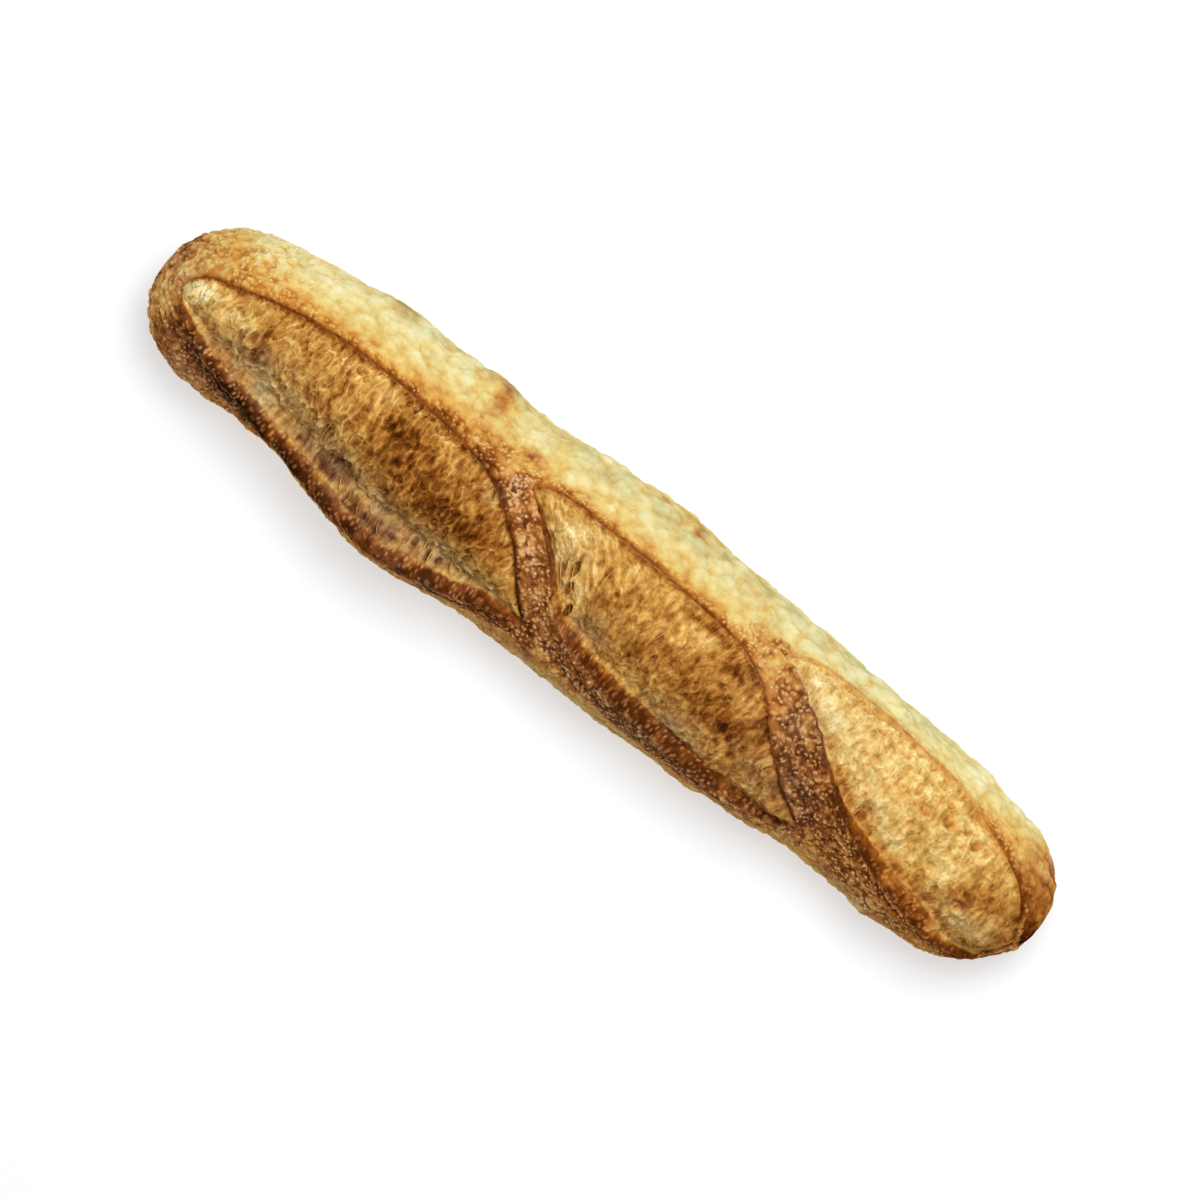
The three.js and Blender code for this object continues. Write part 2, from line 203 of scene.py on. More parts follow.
# Where it browned the crumb and the crust more or less than around them: place in plan, reach
# along and across, and the change in percent.
TOASTED = [
    (-146, -1, 9, 5, -34), (-132, 0, 12, 6, -8), (-122, -3, 2.2, 6, 22), (-100, 5, 16, 5, 4),
    (-73, 0, 10, 7, 34), (-50, -10, 11, 6, 38), (-62, -7, 8, 5, 10), (-36, -6, 8, 6, 14),
    (-71, -25.4, 12, 2.2, 46), (-84, -18, 8, 4, -16), (-108, -15, 16, 3, 2), (-110, -12, 14, 4, -14),
    (-92, -12, 3, 5, -10), (-52, 1, 9, 5, 15), (-73, -8, 7, 4, 15), (-98, -5, 7, 3, 12),
    (-122, -5, 9, 4, 12), (-83, 7, 7, 4, -20), (-31, -12, 4, 4, 16), (-96, -15, 6, 3, 14),
    (-92, -21, 12, 2.5, 10), (-52, 10, 8, 3, -10), (-124, -15, 8, 3, 24), (-62, -15, 8, 3, 12),
    (-16, 0, 4, 3, -15), (-50, -18, 14, 3, -10), (-18, 8, 8, 7, -20), (-8, -4, 5, 6, -22),
    (-8, 0, 3, 3, 14), (10, 2, 12, 8, 8), (30, -4, 9, 5, 14), (16, -9, 5, 4, 18), (63, 0, 5, 7, 27),
    (57, -12, 6, 5, 14), (0, 6, 6, 4, -10), (48, 0, 4, 3, -8), (40, 10, 5, 2.5, 12), (74, 18, 6, 4, 26),
    (1, -2, 4, 4, 14), (57, -5, 4, 3, 12), (135, -6, 5, 4, 30), (87, -4, 4, 3, 22), (108, -6, 8, 3, -8),
    (45, -7, 11, 7, 28), (72, -14, 8, 4, 18), (31, 8, 5, 3.5, -14), (29, 11, 7, 1.2, 30),
    (45, 6, 8, 4, 20), (74, -15, 10, 4, 6), (66, 14, 14, 8, -22), (90, 6, 10, 6, 6), (153, -4, 4, 7, 29),
    (118, 4, 14, 8, 8), (143, -2, 8, 12, 24), (112, -12, 14, 3, 14), (120, -8, 8, 3, 4),
]
SCORCHED = [
    (-157, 7, 2.4, 7, 30), (-146, 14, 11, 6, 10), (-122, 13, 9, 4, 10), (-60, 30.5, 6, 3.4, 31),
    (-57, 25.5, 3.4, 4, 27), (-97, 30, 5, 2.5, 26), (12, 29.5, 4.5, 2.6, 28), (0, 33, 12, 1.5, 26),
    (-40, 19, 3.5, 2.4, 38), (-33, 11, 4, 3, -14), (-24, 5, 4, 3, -8), (-55, 15, 5, 2.4, 12),
    (36, 20, 8, 3, 6), (-48, 12, 8, 4, 8), (-40, 9, 5, 4, 22), (140, 17, 12, 4, 8), (55, 16, 5, 4, -10),
    (15, -31, 40, 3, -28), (80, -24, 15, 4, -13), (112, -26, 14, 3, -14), (136, -23, 7, 3, -12),
    (155.5, -5, 2.5, 5, 7), (-153, -8, 5, 8, -30), (-150, -19, 6, 4, -12), (-64, -31, 13, 2.4, -22),
    (-100, -25, 10, 2.5, -10), (-8, -25, 4, 3, 12), (152, -15, 4, 4, -10), (-115, -22, 14, 4, 12),
]
# Where fine blisters cover the crust away from the slashes, in the same way.
BLISTERED = [(-46, 14, 16, 6, 80), (46, 17, 12, 5, 70), (140, 16, 12, 6, 30)]
# Where the bread stayed moist and looks grey-green, in the same way.
MOIST = [
    (-122, -9, 18, 6, 80), (-106, -15, 16, 4, 90), (-84, -18, 12, 5, 90), (-64, -21, 14, 4, 80),
    (-45, -20, 16, 4, 90), (-42, 4, 5, 3, 60), (-70, -25.4, 13, 2, 70), (3, -11, 6, 5, 80),
    (38, -17, 12, 4, 80), (72, -14, 12, 6, 70), (-14, 4, 8, 8, 40), (70, 8, 18, 12, 50),
    (142, -12, 8, 4, 70), (-90, 31, 70, 3, 80), (60, 29, 80, 4, 75), (150, 16, 8, 6, 40),
    (0, -30, 60, 3, 90), (108, -26, 22, 3, 80), (-138, -22, 14, 5, 50), (-154, 3, 6, 12, 60),
]

# ---- Curves and noise --------------------------------------------------------------------------


def through(pairs, x):
    """A smooth curve through (x, value) pairs, flat beyond its ends."""
    at, value = np.array(pairs, float).T
    before = np.maximum(np.arange(len(at)) - 1, 0)
    after = np.minimum(np.arange(len(at)) + 1, len(at) - 1)
    slope = (value[after] - value[before]) / (at[after] - at[before])
    x = np.clip(x, at[0], at[-1])
    i = np.clip(np.searchsorted(at, x, side="right") - 1, 0, len(at) - 2)
    span = at[i + 1] - at[i]
    t = (x - at[i]) / span
    ends = value[i] * (1 + 2 * t) * (1 - t) ** 2 + value[i + 1] * t**2 * (3 - 2 * t)
    return ends + span * (slope[i] * t * (1 - t) ** 2 - slope[i + 1] * t**2 * (1 - t))


def smooth(low, high, value):
    """0 before low, 1 after high, and an even S between them. low may be the greater."""
    t = np.clip((value - low) / (high - low), 0, 1)
    return t * t * (3 - 2 * t)


def bell(value):
    return np.exp(-value * value)


def mix(a, b, share):
    return a + (b - a) * share


def hashed(order, cell):
    x, y, z = np.moveaxis(cell, -1, 0) % 256
    return order[(order[(order[x] + y) % 256] + z) % 256]


def noise(points, size, seed):
    """Gradient noise of about -0.7 to 0.7 whose lumps are size millimetres apart."""
    rng = np.random.default_rng(seed)
    order = rng.permutation(256)
    slopes = rng.normal(size=(256, 3))
    slopes /= np.linalg.norm(slopes, axis=1, keepdims=True)
    places = points / np.asarray(size, float)
    cell = np.floor(places).astype(np.int64)
    part = places - cell
    fade = part**3 * (part * (part * 6 - 15) + 10)
    total = np.zeros(points.shape[:-1])
    for corner in itertools.product((0, 1), repeat=3):
        weight = np.prod(np.where(corner, fade, 1 - fade), axis=-1)
        total += weight * np.sum(slopes[hashed(order, cell + corner)] * (part - corner), axis=-1)
    return total


def layered(points, size, seed, layers=3):
    """Noise with finer noise on it, each layer half as large and half as strong."""
    return sum(noise(points, np.asarray(size) / 2**k, seed + k) / 2**k for k in range(layers))


def uneven(points, *parts):
    """The sum of noises, each given as its height, the spacing of its lumps, and its seed."""
    return sum(height * noise(points, size, seed) for height, size, seed in parts)


def spots_near(flat, size, order, spots):
    """Ways to the spots in each place's own cell and the eight around it, and which spots they are."""
    places = flat[..., :2] / size
    cell = np.floor(places).astype(np.int64)
    for step in itertools.product((-1, 0, 1), repeat=2):
        x, y = np.moveaxis(cell + step, -1, 0) % 256
        pick = order[(order[x] + y) % 256]
        yield spots[pick] + step - (places - cell), pick


def domes(flat, size, seed, reach):
    """Round bubbles packed side by side on the developed surface: 1 on top of one, 0 in the creases."""
    rng = np.random.default_rng(seed)
    order = rng.permutation(256)
    spots, tallness = rng.random((256, 2)), rng.uniform(0.45, 1, 256)
    height = 0
    for way, pick in spots_near(flat, size, order, spots):
        away = np.sum(way**2, axis=-1) / reach**2
        height = np.maximum(height, tallness[pick] * np.maximum(1 - away, 0) ** 0.7)
    return height


def web(flat, size, seed):
    """Walls between gas cells, drawn as a net: 1 on a wall, 0 in the middle of a cell."""
    rng = np.random.default_rng(seed)
    order = rng.permutation(256)
    nearest = second = np.full(flat.shape[:-1], 9.0)
    for way, _ in spots_near(flat, size, order, rng.random((256, 2))):
        away = np.linalg.norm(way, axis=-1)
        second = np.minimum(second, np.maximum(nearest, away))
        nearest = np.minimum(nearest, away)
    return smooth(0.42, 0.0, second - nearest)


def from_rows(rows, columns, place, away):
    """A value from a table that has one row for each place and one column for each distance."""
    table = np.array([rows[key] for key in sorted(rows)])
    i = np.interp(place, sorted(rows), np.arange(len(table)))
    j = np.interp(away, columns, np.arange(len(columns)))
    row = np.minimum(i.astype(int), len(table) - 2)
    column = np.minimum(j.astype(int), len(columns) - 2)
    i, j = i - row, j - column
    before = mix(table[row, column], table[row, column + 1], j)
    after = mix(table[row + 1, column], table[row + 1, column + 1], j)
    return mix(before, after, i)


# ---- The loaf before it was slashed ------------------------------------------------------------

QUARTER = END_ROUND * math.pi / 2
STRAIGHT = LENGTH - 2 * END_ROUND
TRAVEL = STRAIGHT + 2 * QUARTER  # way over the loaf's back from tip to tip


def place_along(travelled):
    """X of a ring so far along the loaf's back. Rings crowd together towards the tips."""
    to_tip = np.minimum(np.minimum(travelled, TRAVEL - travelled), QUARTER)
    from_tip = END_ROUND * (1 - np.cos(to_tip / END_ROUND))
    left = -LENGTH / 2 + from_tip + np.maximum(travelled - QUARTER, 0)
    return np.where(travelled < QUARTER + STRAIGHT, left, LENGTH / 2 - from_tip)


def opened(x):
    """How far the section at x has opened from a tip: 0 at the tip, 1 past the round end."""
    from_tip = np.clip((LENGTH / 2 - np.abs(x)) / END_ROUND, 0, 1)
    return np.sqrt(1 - (1 - from_tip) ** 2)


def section(x):
    """The section at x: half its width, its middle in Y, its heights from the waist, its mean radius."""
    far, near, crown, wide = through(FAR_SIDE, x), through(NEAR_SIDE, x), through(CROWN, x), opened(x)
    half = (far - near) / 2 * wide
    above = (crown - WAIST) * wide
    below = (WAIST + BASE_SINK) * wide**BASE_CLOSING
    return SimpleNamespace(
        half=half, middle=(far + near) / 2, above=above, below=below, radius=(half + above) / 2
    )


def squared(value):
    return np.sign(value) * np.abs(value) ** SIDE_SQUARENESS


def body(x, angle):
    """Points of the plain loaf. Angle 0 is the far side, a quarter turn the crown, a half the near side."""
    cut = section(x)
    across, up = np.cos(angle), np.sin(angle)
    y = np.where(up >= 0, across, squared(across)) * cut.half
    z = np.where(up >= 0, up * cut.above, squared(up) * cut.below)
    return np.stack(np.broadcast_arrays(x, cut.middle + y, np.maximum(0, WAIST + z)), axis=-1)


# ---- Slashes -----------------------------------------------------------------------------------


def edges(slash, x):
    """Angles of a slash's far lip, its foot, the ear's root and crest, and how open the slash is."""
    cut = section(x)
    line = np.stack([x, np.zeros_like(x), np.zeros_like(x)], axis=-1)
    lip_y = through(slash.far_lip, x) + LIP_WAVER * layered(line, 11, 11)
    crest_y = through(slash.crest, x) + CREST_WAVER * layered(line, 11, 17)
    root_y = crest_y + through(slash.ear_width, x) * (1 + EAR_WAVER * layered(line, 6, 19))
    root_y = np.minimum(root_y, (crest_y + lip_y) / 2)
    lip, root, crest = (
        np.arccos(np.clip((y - cut.middle) / cut.half, -1, 1)) for y in (lip_y, root_y, crest_y)
    )
    start, end = slash.far_lip[0][0], slash.far_lip[-1][0]
    crest = np.maximum(crest, lip)
    root = np.clip(root, lip, crest)
    foot = np.minimum(lip + LIP_EDGE / cut.radius, (lip + crest) / 2)
    there = (x > start) & (x < end)
    strength = smooth(OPENING_SHUT, OPENING_FULL, (crest - lip) * cut.radius) * there
    strength = strength * smooth(LENGTH / 2, LENGTH / 2 - TIP_FADE, np.abs(x))
    along = np.clip((x - start) / (end - start), 0, 1)
    return SimpleNamespace(
        lip=lip, foot=foot, root=root, crest=crest, strength=strength, along=along, there=there
    )


def opening(slash, x, angle):
    """Where points lie by a slash: shares of the way over its crumb and ear, and ways past its edges."""
    edge = edges(slash, x)
    radius = section(x).radius
    start, end = slash.far_lip[0][0], slash.far_lip[-1][0]
    beyond = np.maximum(start - x, 0) + np.maximum(x - end, 0)
    within = np.maximum(np.minimum(x - start, end - x), 0)
    past_lip, past_crest = (angle - edge.lip) * radius, (angle - edge.crest) * radius
    to_lip = np.where(past_lip <= 0, np.abs(past_lip), TIP_SHARPNESS * np.hypot(past_crest, within))
    to_crest = np.where(past_crest >= 0, past_crest, 2 * TIP_SHARPNESS * np.hypot(past_lip, within))
    beyond_tip = TIP_SHARPNESS * np.hypot(np.where(past_lip < 0, 1, 0.7) * past_lip, beyond)
    off_lip = np.where(past_lip < 0, np.hypot(past_lip, TIP_SHARPNESS * beyond), beyond_tip)
    off_crest = np.where(past_crest > 0, np.hypot(past_crest, TIP_SHARPNESS * beyond), 2 * beyond_tip)
    return SimpleNamespace(
        slash=slash,
        edge=edge,
        inside=edge.there & (angle > edge.lip) & (angle < edge.crest),
        past_lip=past_lip,
        past_crest=past_crest,
        past_root=(angle - edge.root) * radius,
        from_lip=np.where(beyond > 0, off_lip, to_lip),
        from_crest=np.where(beyond > 0, off_crest, to_crest),
        share=np.clip((angle - edge.lip) / np.maximum(edge.root - edge.lip, 1e-3), 0, 1),
        ear=np.clip((angle - edge.root) / np.maximum(edge.crest - edge.root, 1e-3), 0, 1),
        dropped=smooth(edge.lip, np.maximum(edge.foot, edge.lip + 1e-4), angle),
    )


def ear_height(cut, line):
    """Height of a slash's ear, greatest midway and uneven along its crest."""
    ragged = 1 + EAR_NOTCHES * layered(line, 12, 23, 2)
    return cut.slash.ear_height * cut.edge.strength * np.sqrt(np.sin(math.pi * cut.edge.along)) * ragged


def torn_relief(cut, height):
    """Form of a slash's torn crumb, which sinks to the trough and then rises to the ear's height."""
    slash = cut.slash
    reach = bell((cut.edge.along - slash.trough_at) / TROUGH_LENGTH)
    depth = slash.trough * reach * smooth(TROUGH_FROM, 1, cut.share)
    crumb = slash.swell * np.sin(math.pi * cut.share) - LIP_STEP - depth
    torn = cut.edge.strength * mix(LIP_RISE, crumb, cut.dropped)
    return mix(torn, height, cut.ear * cut.ear * (3 - 2 * cut.ear))


def crust_beside(cut, height):
    """What a slash lifts of the crust outside it: the curl of its far lip and the ear's outer slope."""
    curl = cut.edge.strength * LIP_RISE * bell(np.minimum(cut.past_lip, 0) / LIP_REACH)
    slope = height * np.clip(1 - np.maximum(cut.past_crest, 0) / EAR_FOOT, 0, 1) ** 2
    return np.where(cut.past_lip <= 0, curl, np.where(cut.past_crest >= 0, slope, 0)) * cut.edge.there


# ---- The surface and everything that is known at each of its points ----------------------------

ANGLE_STEPS = 1500  # fine steps round a section, by which its length is measured
SNAP_FROM = 0.12  # rings that a slash opens at least this far have points right on its edges
TIP_REACH = (36, 24)  # way from a tip at which its own flat map of blisters begins, and is whole
END_CLOSING = 0.45  # relief grows from nothing at a tip to the whole where the end is this open
RAGGED = 0.48  # how ragged the edges of crust and crumb are, in millimetres

# Blisters of three sizes: width, seed, reach of a dome, spacing and seed of the patches that hold
# them, the noise at which a patch is full, and height on plain crust and on well blistered crust.
BUBBLES = [
    (6.0, 59, 0.62, 14, 61, 0.2, 0.95, 0.40),
    (3.2, 63, 0.60, 7, 65, 0.2, 0.50, 0.60),
    (1.9, 67, 0.64, 5, 69, 0.1, 0.14, 0.58),
]
LEFT_END_BLISTERS = (-105, -140)  # X where they begin to thicken, and where they cover the end
NEAR_SIDE_BLISTERS = 0.6  # how thick they lie on the near side
BAND_EDGE = 3  # half the width over which a band of crust beside a slash fades

# Torn crumb: its gas cells, the walls between them, its granules and its pores.
CELL = 2.4  # width of a gas cell
CELL_DRAWN_OUT = (1, 2.1, 1)  # how far the rising dough drew the cells out across the loaf
PORE_DRAWN_OUT = (1, 1.7, 1)
GRANULE = (1.9, 2.8, 1.9)
WALL_HEIGHT = 0.7
GRANULE_HEIGHT = 0.42
PORE_DEPTH = (0.3, 0.9)  # where no walls stand, and where they stand clearest
CRUMB_SINK = 0.15  # how far the crumb lies below its plain form
FOLD = 1.5  # half the width of the quiet fold in front of an ear
FLAKE_HEIGHT = 0.45  # flakes of crust on the inner face of an ear
HOLE_LIP = 0.36  # height of the lip round a gas hole, as a share of its depth


def patches(spots, x, y):
    """The sum of soft spots: place in plan, reach along and across, and change in percent."""
    return sum(
        change / 100 * bell(np.hypot((x - at_x) / reach_x, (y - at_y) / reach_y))
        for at_x, at_y, reach_x, reach_y, change in spots
    )


def ring_angles(x):
    """Angles of each ring's points, their way round from the crown, and the girth of each ring.

    The points lie even over the plain body and sparser below, and are snapped to edges.
    """
    fine = np.linspace(-math.pi / 2, 1.5 * math.pi, ANGLE_STEPS)
    lengths = np.linalg.norm(np.diff(body(x[:, None], fine[None, :]), axis=1), axis=-1)
    density = mix(BASE_DENSITY, 1, smooth(-0.6, 0.3, np.sin(fine[1:])))
    start = np.zeros((len(x), 1))
    way = np.concatenate([start, np.cumsum(lengths * density, axis=1)], axis=1)
    rows = np.array([np.interp(np.arange(AROUND) * w[-1] / AROUND, w, fine) for w in way])
    girth = np.concatenate([start, np.cumsum(lengths, axis=1)], axis=1)
    for slash in SLASHES:
        edge = edges(slash, x)
        for i in np.flatnonzero(edge.strength > SNAP_FROM):
            free = 0
            for at in (edge.lip[i], edge.foot[i], edge.root[i], edge.crest[i]):
                free = max(free, int(np.argmin(np.abs(rows[i] - at))))
                rows[i, free] = at
                free += 1
    crown = [np.interp(math.pi / 2, fine, g) for g in girth]
    arc = np.array([np.interp(row, fine, g) - c for row, g, c in zip(rows, girth, crown)])
    return rows, arc, girth[:, -1]


def drawn_out(grain, cuts, x):
    """The developed surface, sheared and warped the way the rising dough drew out its fibres."""
    lean = sum(through(cut.slash.lean, x) * cut.inside for cut in cuts)
    drawn = grain.copy()
    drawn[..., 0] += lean * grain[..., 1] + uneven(grain, (1.8, 9, 31), (0.7, 3.5, 32))
    drawn[..., 1] += uneven(grain, (1.5, 8, 33))
    return drawn


def plain_loaf():
    """The loaf before it was slashed, and how each of its points lies by the slashes to come.

    Its grain is the surface laid flat: the way along the loaf, and the way round from the crown.
    """
    travelled = (np.arange(RINGS) + 0.5) / RINGS * TRAVEL
    x = place_along(travelled)
    angle, arc, girth = ring_angles(x)
    travelled, x = (np.broadcast_to(each[:, None], angle.shape) for each in (travelled, x))
    grain = np.stack([travelled, arc, np.zeros_like(arc)], axis=-1)
    cuts = [opening(slash, x, angle) for slash in SLASHES]
    at = body(x, angle)
    return SimpleNamespace(
        x=x, angle=angle, at=at, up=np.sin(angle), across=np.cos(angle), girth=girth, grain=grain,
        drawn=drawn_out(grain, cuts, x), ragged=RAGGED * layered(at, 3.2, 73), cuts=cuts,
        inside=np.any([cut.inside for cut in cuts], axis=0), closing=smooth(0, END_CLOSING, opened(x)),
    )


def on_lip(cut, outside, reach):
    """How much a point belongs to a slash's far lip, whose middle lies so far outside its edge."""
    return bell((cut.past_lip + outside) / reach) * cut.edge.there * smooth(0, 0.2, cut.edge.strength)


def cover_with_blisters(loaf):
    """Where blisters lie thick: by the slashes, on the left end and low on the near side."""
    x, from_tip = loaf.x, np.minimum(loaf.grain[..., 0], TRAVEL - loaf.grain[..., 0])
    thick = smooth(*LEFT_END_BLISTERS, x) + patches(BLISTERED, x, loaf.at[..., 1])
    thick = thick + NEAR_SIDE_BLISTERS * smooth(0, -0.8, loaf.across)
    for cut in loaf.cuts:
        width = cut.slash.band_width
        cut.band = smooth(width + BAND_EDGE, width - BAND_EDGE, cut.from_crest) * (1 - cut.inside)
        halo = bell(cut.from_lip / through(cut.slash.halo_width, x)) * (1 - cut.inside)
        thick = thick + cut.band + halo
    lips = np.clip(sum(on_lip(cut, 0.2, 0.9) for cut in loaf.cuts), 0, 1)
    loaf.blistered = np.clip(thick, 0, 1) * (1 - 0.9 * lips)

    # The round ends are drawn flat about their tips, where the developed rings crowd together.
    loaf.at_tip = smooth(*TIP_REACH, from_tip)
    tip = np.stack([from_tip * np.cos(loaf.angle), from_tip * np.sin(loaf.angle)], axis=-1)
    height = 0
    for size, seed, reach, apart, patch_seed, full, plain, covered in BUBBLES:
        bubbles = mix(domes(loaf.drawn, size, seed, reach), domes(tip, size, seed, reach), loaf.at_tip)
        held = smooth(-0.5, full, noise(loaf.at, apart, patch_seed))
        height = height + mix(plain, covered, loaf.blistered) * bubbles * held
    loaf.blisters = height * (1 - 0.8 * lips)


def tear_crumb(loaf):
    """Height of the torn crumb's cell walls, granules and pores."""
    at, drawn, cuts = loaf.at, loaf.drawn, loaf.cuts
    loaf.webbed = sum(
        cut.slash.webbed * cut.inside * (1 - 0.85 * smooth(0, 0.3, cut.ear)) for cut in cuts
    )
    walls = web(drawn / CELL_DRAWN_OUT, CELL, 41) * smooth(-0.35, 0.25, noise(at, 6, 42))
    pores = domes(drawn / PORE_DRAWN_OUT, CELL, 47, 0.42) * smooth(-0.1, 0.35, noise(drawn, 7, 48))
    tears = WALL_HEIGHT * loaf.webbed * walls + GRANULE_HEIGHT * layered(drawn, GRANULE, 43, 2)
    tears = tears - mix(*PORE_DEPTH, loaf.webbed) * pores - CRUMB_SINK
    folds = sum(bell(cut.past_root / FOLD) * cut.inside * cut.edge.strength for cut in cuts)
    loaf.tears = tears * (1 - 0.7 * folds)


def raise_forms(loaf):
    """Moves the points by the large forms, along the plain body's own normal."""
    x, at, cuts, inside = loaf.x, loaf.at, loaf.cuts, loaf.inside
    heights = [ear_height(cut, loaf.grain * (1, 0, 0)) for cut in cuts]
    rise = np.where(
        inside,
        sum(np.where(cut.inside, torn_relief(cut, height), 0) for cut, height in zip(cuts, heights)),
        sum(crust_beside(cut, height) for cut, height in zip(cuts, heights)),
    )
    swollen = uneven(at, (0.9, 19, 53), (0.6, 7, 54)) + sum(
        high * bell(np.hypot(x - at_x, (loaf.angle - math.radians(degrees)) * section(x).radius) / radius)
        for at_x, degrees, radius, high in BLISTERS
    )
    lumps = uneven(at, (1.7, 11, 37)) + uneven(loaf.drawn, (1.5, (3.8, 10, 3.8), 38))
    crumb = sum(cut.inside * cut.dropped * smooth(1, 0.6, cut.ear) * cut.edge.strength for cut in cuts)
    loaf.off_base = smooth(-0.75, -0.25, loaf.up)
    loaf.rise = rise + swollen * loaf.off_base * (1 - inside) + lumps * crumb
    cut = section(x)
    high = np.maximum(loaf.up / np.maximum(cut.above, 1), 0)
    loaf.outward = np.stack([np.zeros_like(x), loaf.across / np.maximum(cut.half, 1), high], -1)
    loaf.outward /= np.linalg.norm(loaf.outward, axis=-1, keepdims=True)
    loaf.points = at + loaf.outward * (loaf.rise * loaf.closing)[..., None]


def part_crust_from_crumb(loaf):
    """How far each point lies in from a crest, in plan, and with it the crumb's share.

    The crumb is whole past the foot of the lip, and there is none on the rim.
    """
    y = loaf.points[..., 1]
    loaf.torn = 0
    for cut in loaf.cuts:
        crest_y = np.array([np.interp(*row) for row in zip(cut.edge.crest[:, 0], loaf.angle, y)])
        in_plan = np.maximum(y - crest_y[:, None], 0)
        cut.away = np.where(cut.inside, in_plan, -np.abs(cut.past_crest))
        past_rim = cut.away + 2 * loaf.ragged - through(cut.slash.rim, loaf.x)
        shown = cut.inside * cut.dropped * smooth(0.02, 0.3, cut.edge.strength)
        loaf.torn = loaf.torn + shown * smooth(-0.3, 0.3, past_rim)
        cut.fringe = shown * bell((past_rim - cut.slash.fringe_width) / cut.slash.fringe_width)


def raise_detail(loaf):
    """Moves the points by blisters, tears, flakes and holes, along the formed surface's normal."""
    loaf.seen = loaf.points[..., 0], loaf.points[..., 1]  # in plan, before the detail moves them
    uneven_edge = 0.3 * noise(loaf.grain, 2.5, 71)
    loaf.holes = 0
    for hole_x, hole_y, long, wide, deep in HOLES:
        r = np.hypot((loaf.seen[0] - hole_x) / long, (loaf.seen[1] - hole_y) / wide) + uneven_edge
        dip = smooth(1.05, 0.35, r) - HOLE_LIP * bell((r - 1.25) / 0.25)
        loaf.holes = loaf.holes + deep * dip * (loaf.up > 0)
    points, torn, inside = loaf.points, loaf.torn, loaf.inside
    crust = loaf.blisters * loaf.off_base * (1 - 0.85 * inside)
    flakes = FLAKE_HEIGHT * layered(points, 2.6, 75, 3) * inside * (1 - torn)
    fine = mix(crust, loaf.tears, torn) + flakes
    normal = np.cross(np.gradient(points, axis=0), (np.roll(points, -1, 1) - np.roll(points, 1, 1)) / 2)
    normal /= np.maximum(np.linalg.norm(normal, axis=-1, keepdims=True), 1e-9)
    normal *= np.sign(np.sum(normal * loaf.outward, axis=-1, keepdims=True) + 1e-9)
    loaf.points = points + normal * ((fine - loaf.holes * torn) * loaf.closing)[..., None]
    loaf.points[..., 2] = np.maximum(loaf.points[..., 2], 0)
    loaf.rise = loaf.rise + fine
    # How high each point stands in its fine relief, which the material also turns into painted shade and
    # light.
    loaf.level = mix(loaf.blisters / 1.2, np.maximum(0.5 + 0.8 * loaf.tears, 0.05), torn)


def brown_crust(loaf):
    """How far the oven browned the crust, and how much flour it kept."""
    x, y, up, inside = loaf.x, loaf.at[..., 1], loaf.up, loaf.inside
    # Pale on the far side, browner near the crown, on the near side and at both tips.
    near = smooth(0.15, -0.75, loaf.across)
    far_side = FAR_BAKE + 0.13 * smooth(25, 13, y) - 0.03 * smooth(50, 90, x) - 0.03 * smooth(-95, -120, x)
    bake = mix(far_side, mix(*NEAR_BAKE, smooth(0.55, 0, up)), near)
    bake = bake + 0.09 * smooth(-128, -148, x) * smooth(24, 4, y) + 0.04 * smooth(-152, -160, x)
    bake = bake + RIGHT_END_BAKE * smooth(136, 157, x) + 0.03 * bell((x - 10) / 70) * (1 - near)
    # Flour lies on the near side, the left end and the well blistered patches.
    flour = 0.35 * near * smooth(150, 138, x) + 0.2 * smooth(-100, -150, x)
    flour = flour + 0.3 * patches(BLISTERED, x, y)
    for cut in loaf.cuts:
        slash, edge = cut.slash, cut.edge
        width = through(slash.halo_width, x)
        halo = bell((cut.from_lip + 2 * loaf.ragged) / width)
        wide_halo = bell((cut.from_lip + 4 * loaf.ragged) / (2.6 * width))
        bake = bake + through(slash.halo, x) * (halo + 0.5 * wide_halo) * (1 - cut.inside)
        bake = mix(bake, through(slash.band, x), cut.band)
        flour = mix(flour, slash.band_flour, cut.band)
        # Close outside the crest the table holds, and farther out the band takes over.
        from_edge = cut.away - slash.shift + loaf.ragged
        cut.beside = from_rows(slash.browned, BESIDE_CREST, x, from_edge) / 100
        outside = smooth(-8, -3, cut.away) * (cut.past_crest > 0) * smooth(0, 0.4, edge.strength)
        bake = mix(bake, cut.beside, outside)
        flour = flour * (1 - 0.6 * outside * smooth(-5, -2, cut.away))
        cut.dusted = 0.25 * slash.band_flour * smooth(0.3, -0.5, from_edge)
    # The crumb side of a slash, its lip, and at last the underside.
    for cut in loaf.cuts:
        lip = on_lip(cut, 0.1, np.where(cut.past_lip > 0, 1.5, 0.6))
        lip_bake = np.maximum(bake, cut.slash.lip_line)
        bake = mix(np.where(cut.inside, cut.beside, bake), lip_bake, lip)
        flour = np.where(cut.inside, cut.dusted, flour * (1 - lip))
    bake = mix(bake, BASE_BAKE, smooth(0.1, -0.9, up))
    scorched = patches(SCORCHED, x, y) * smooth(-0.1, 0.3, up) * (1 - inside)
    loaf.bake = bake + scorched + 0.08 * layered(loaf.at, 12, 89)
    loaf.flour = flour


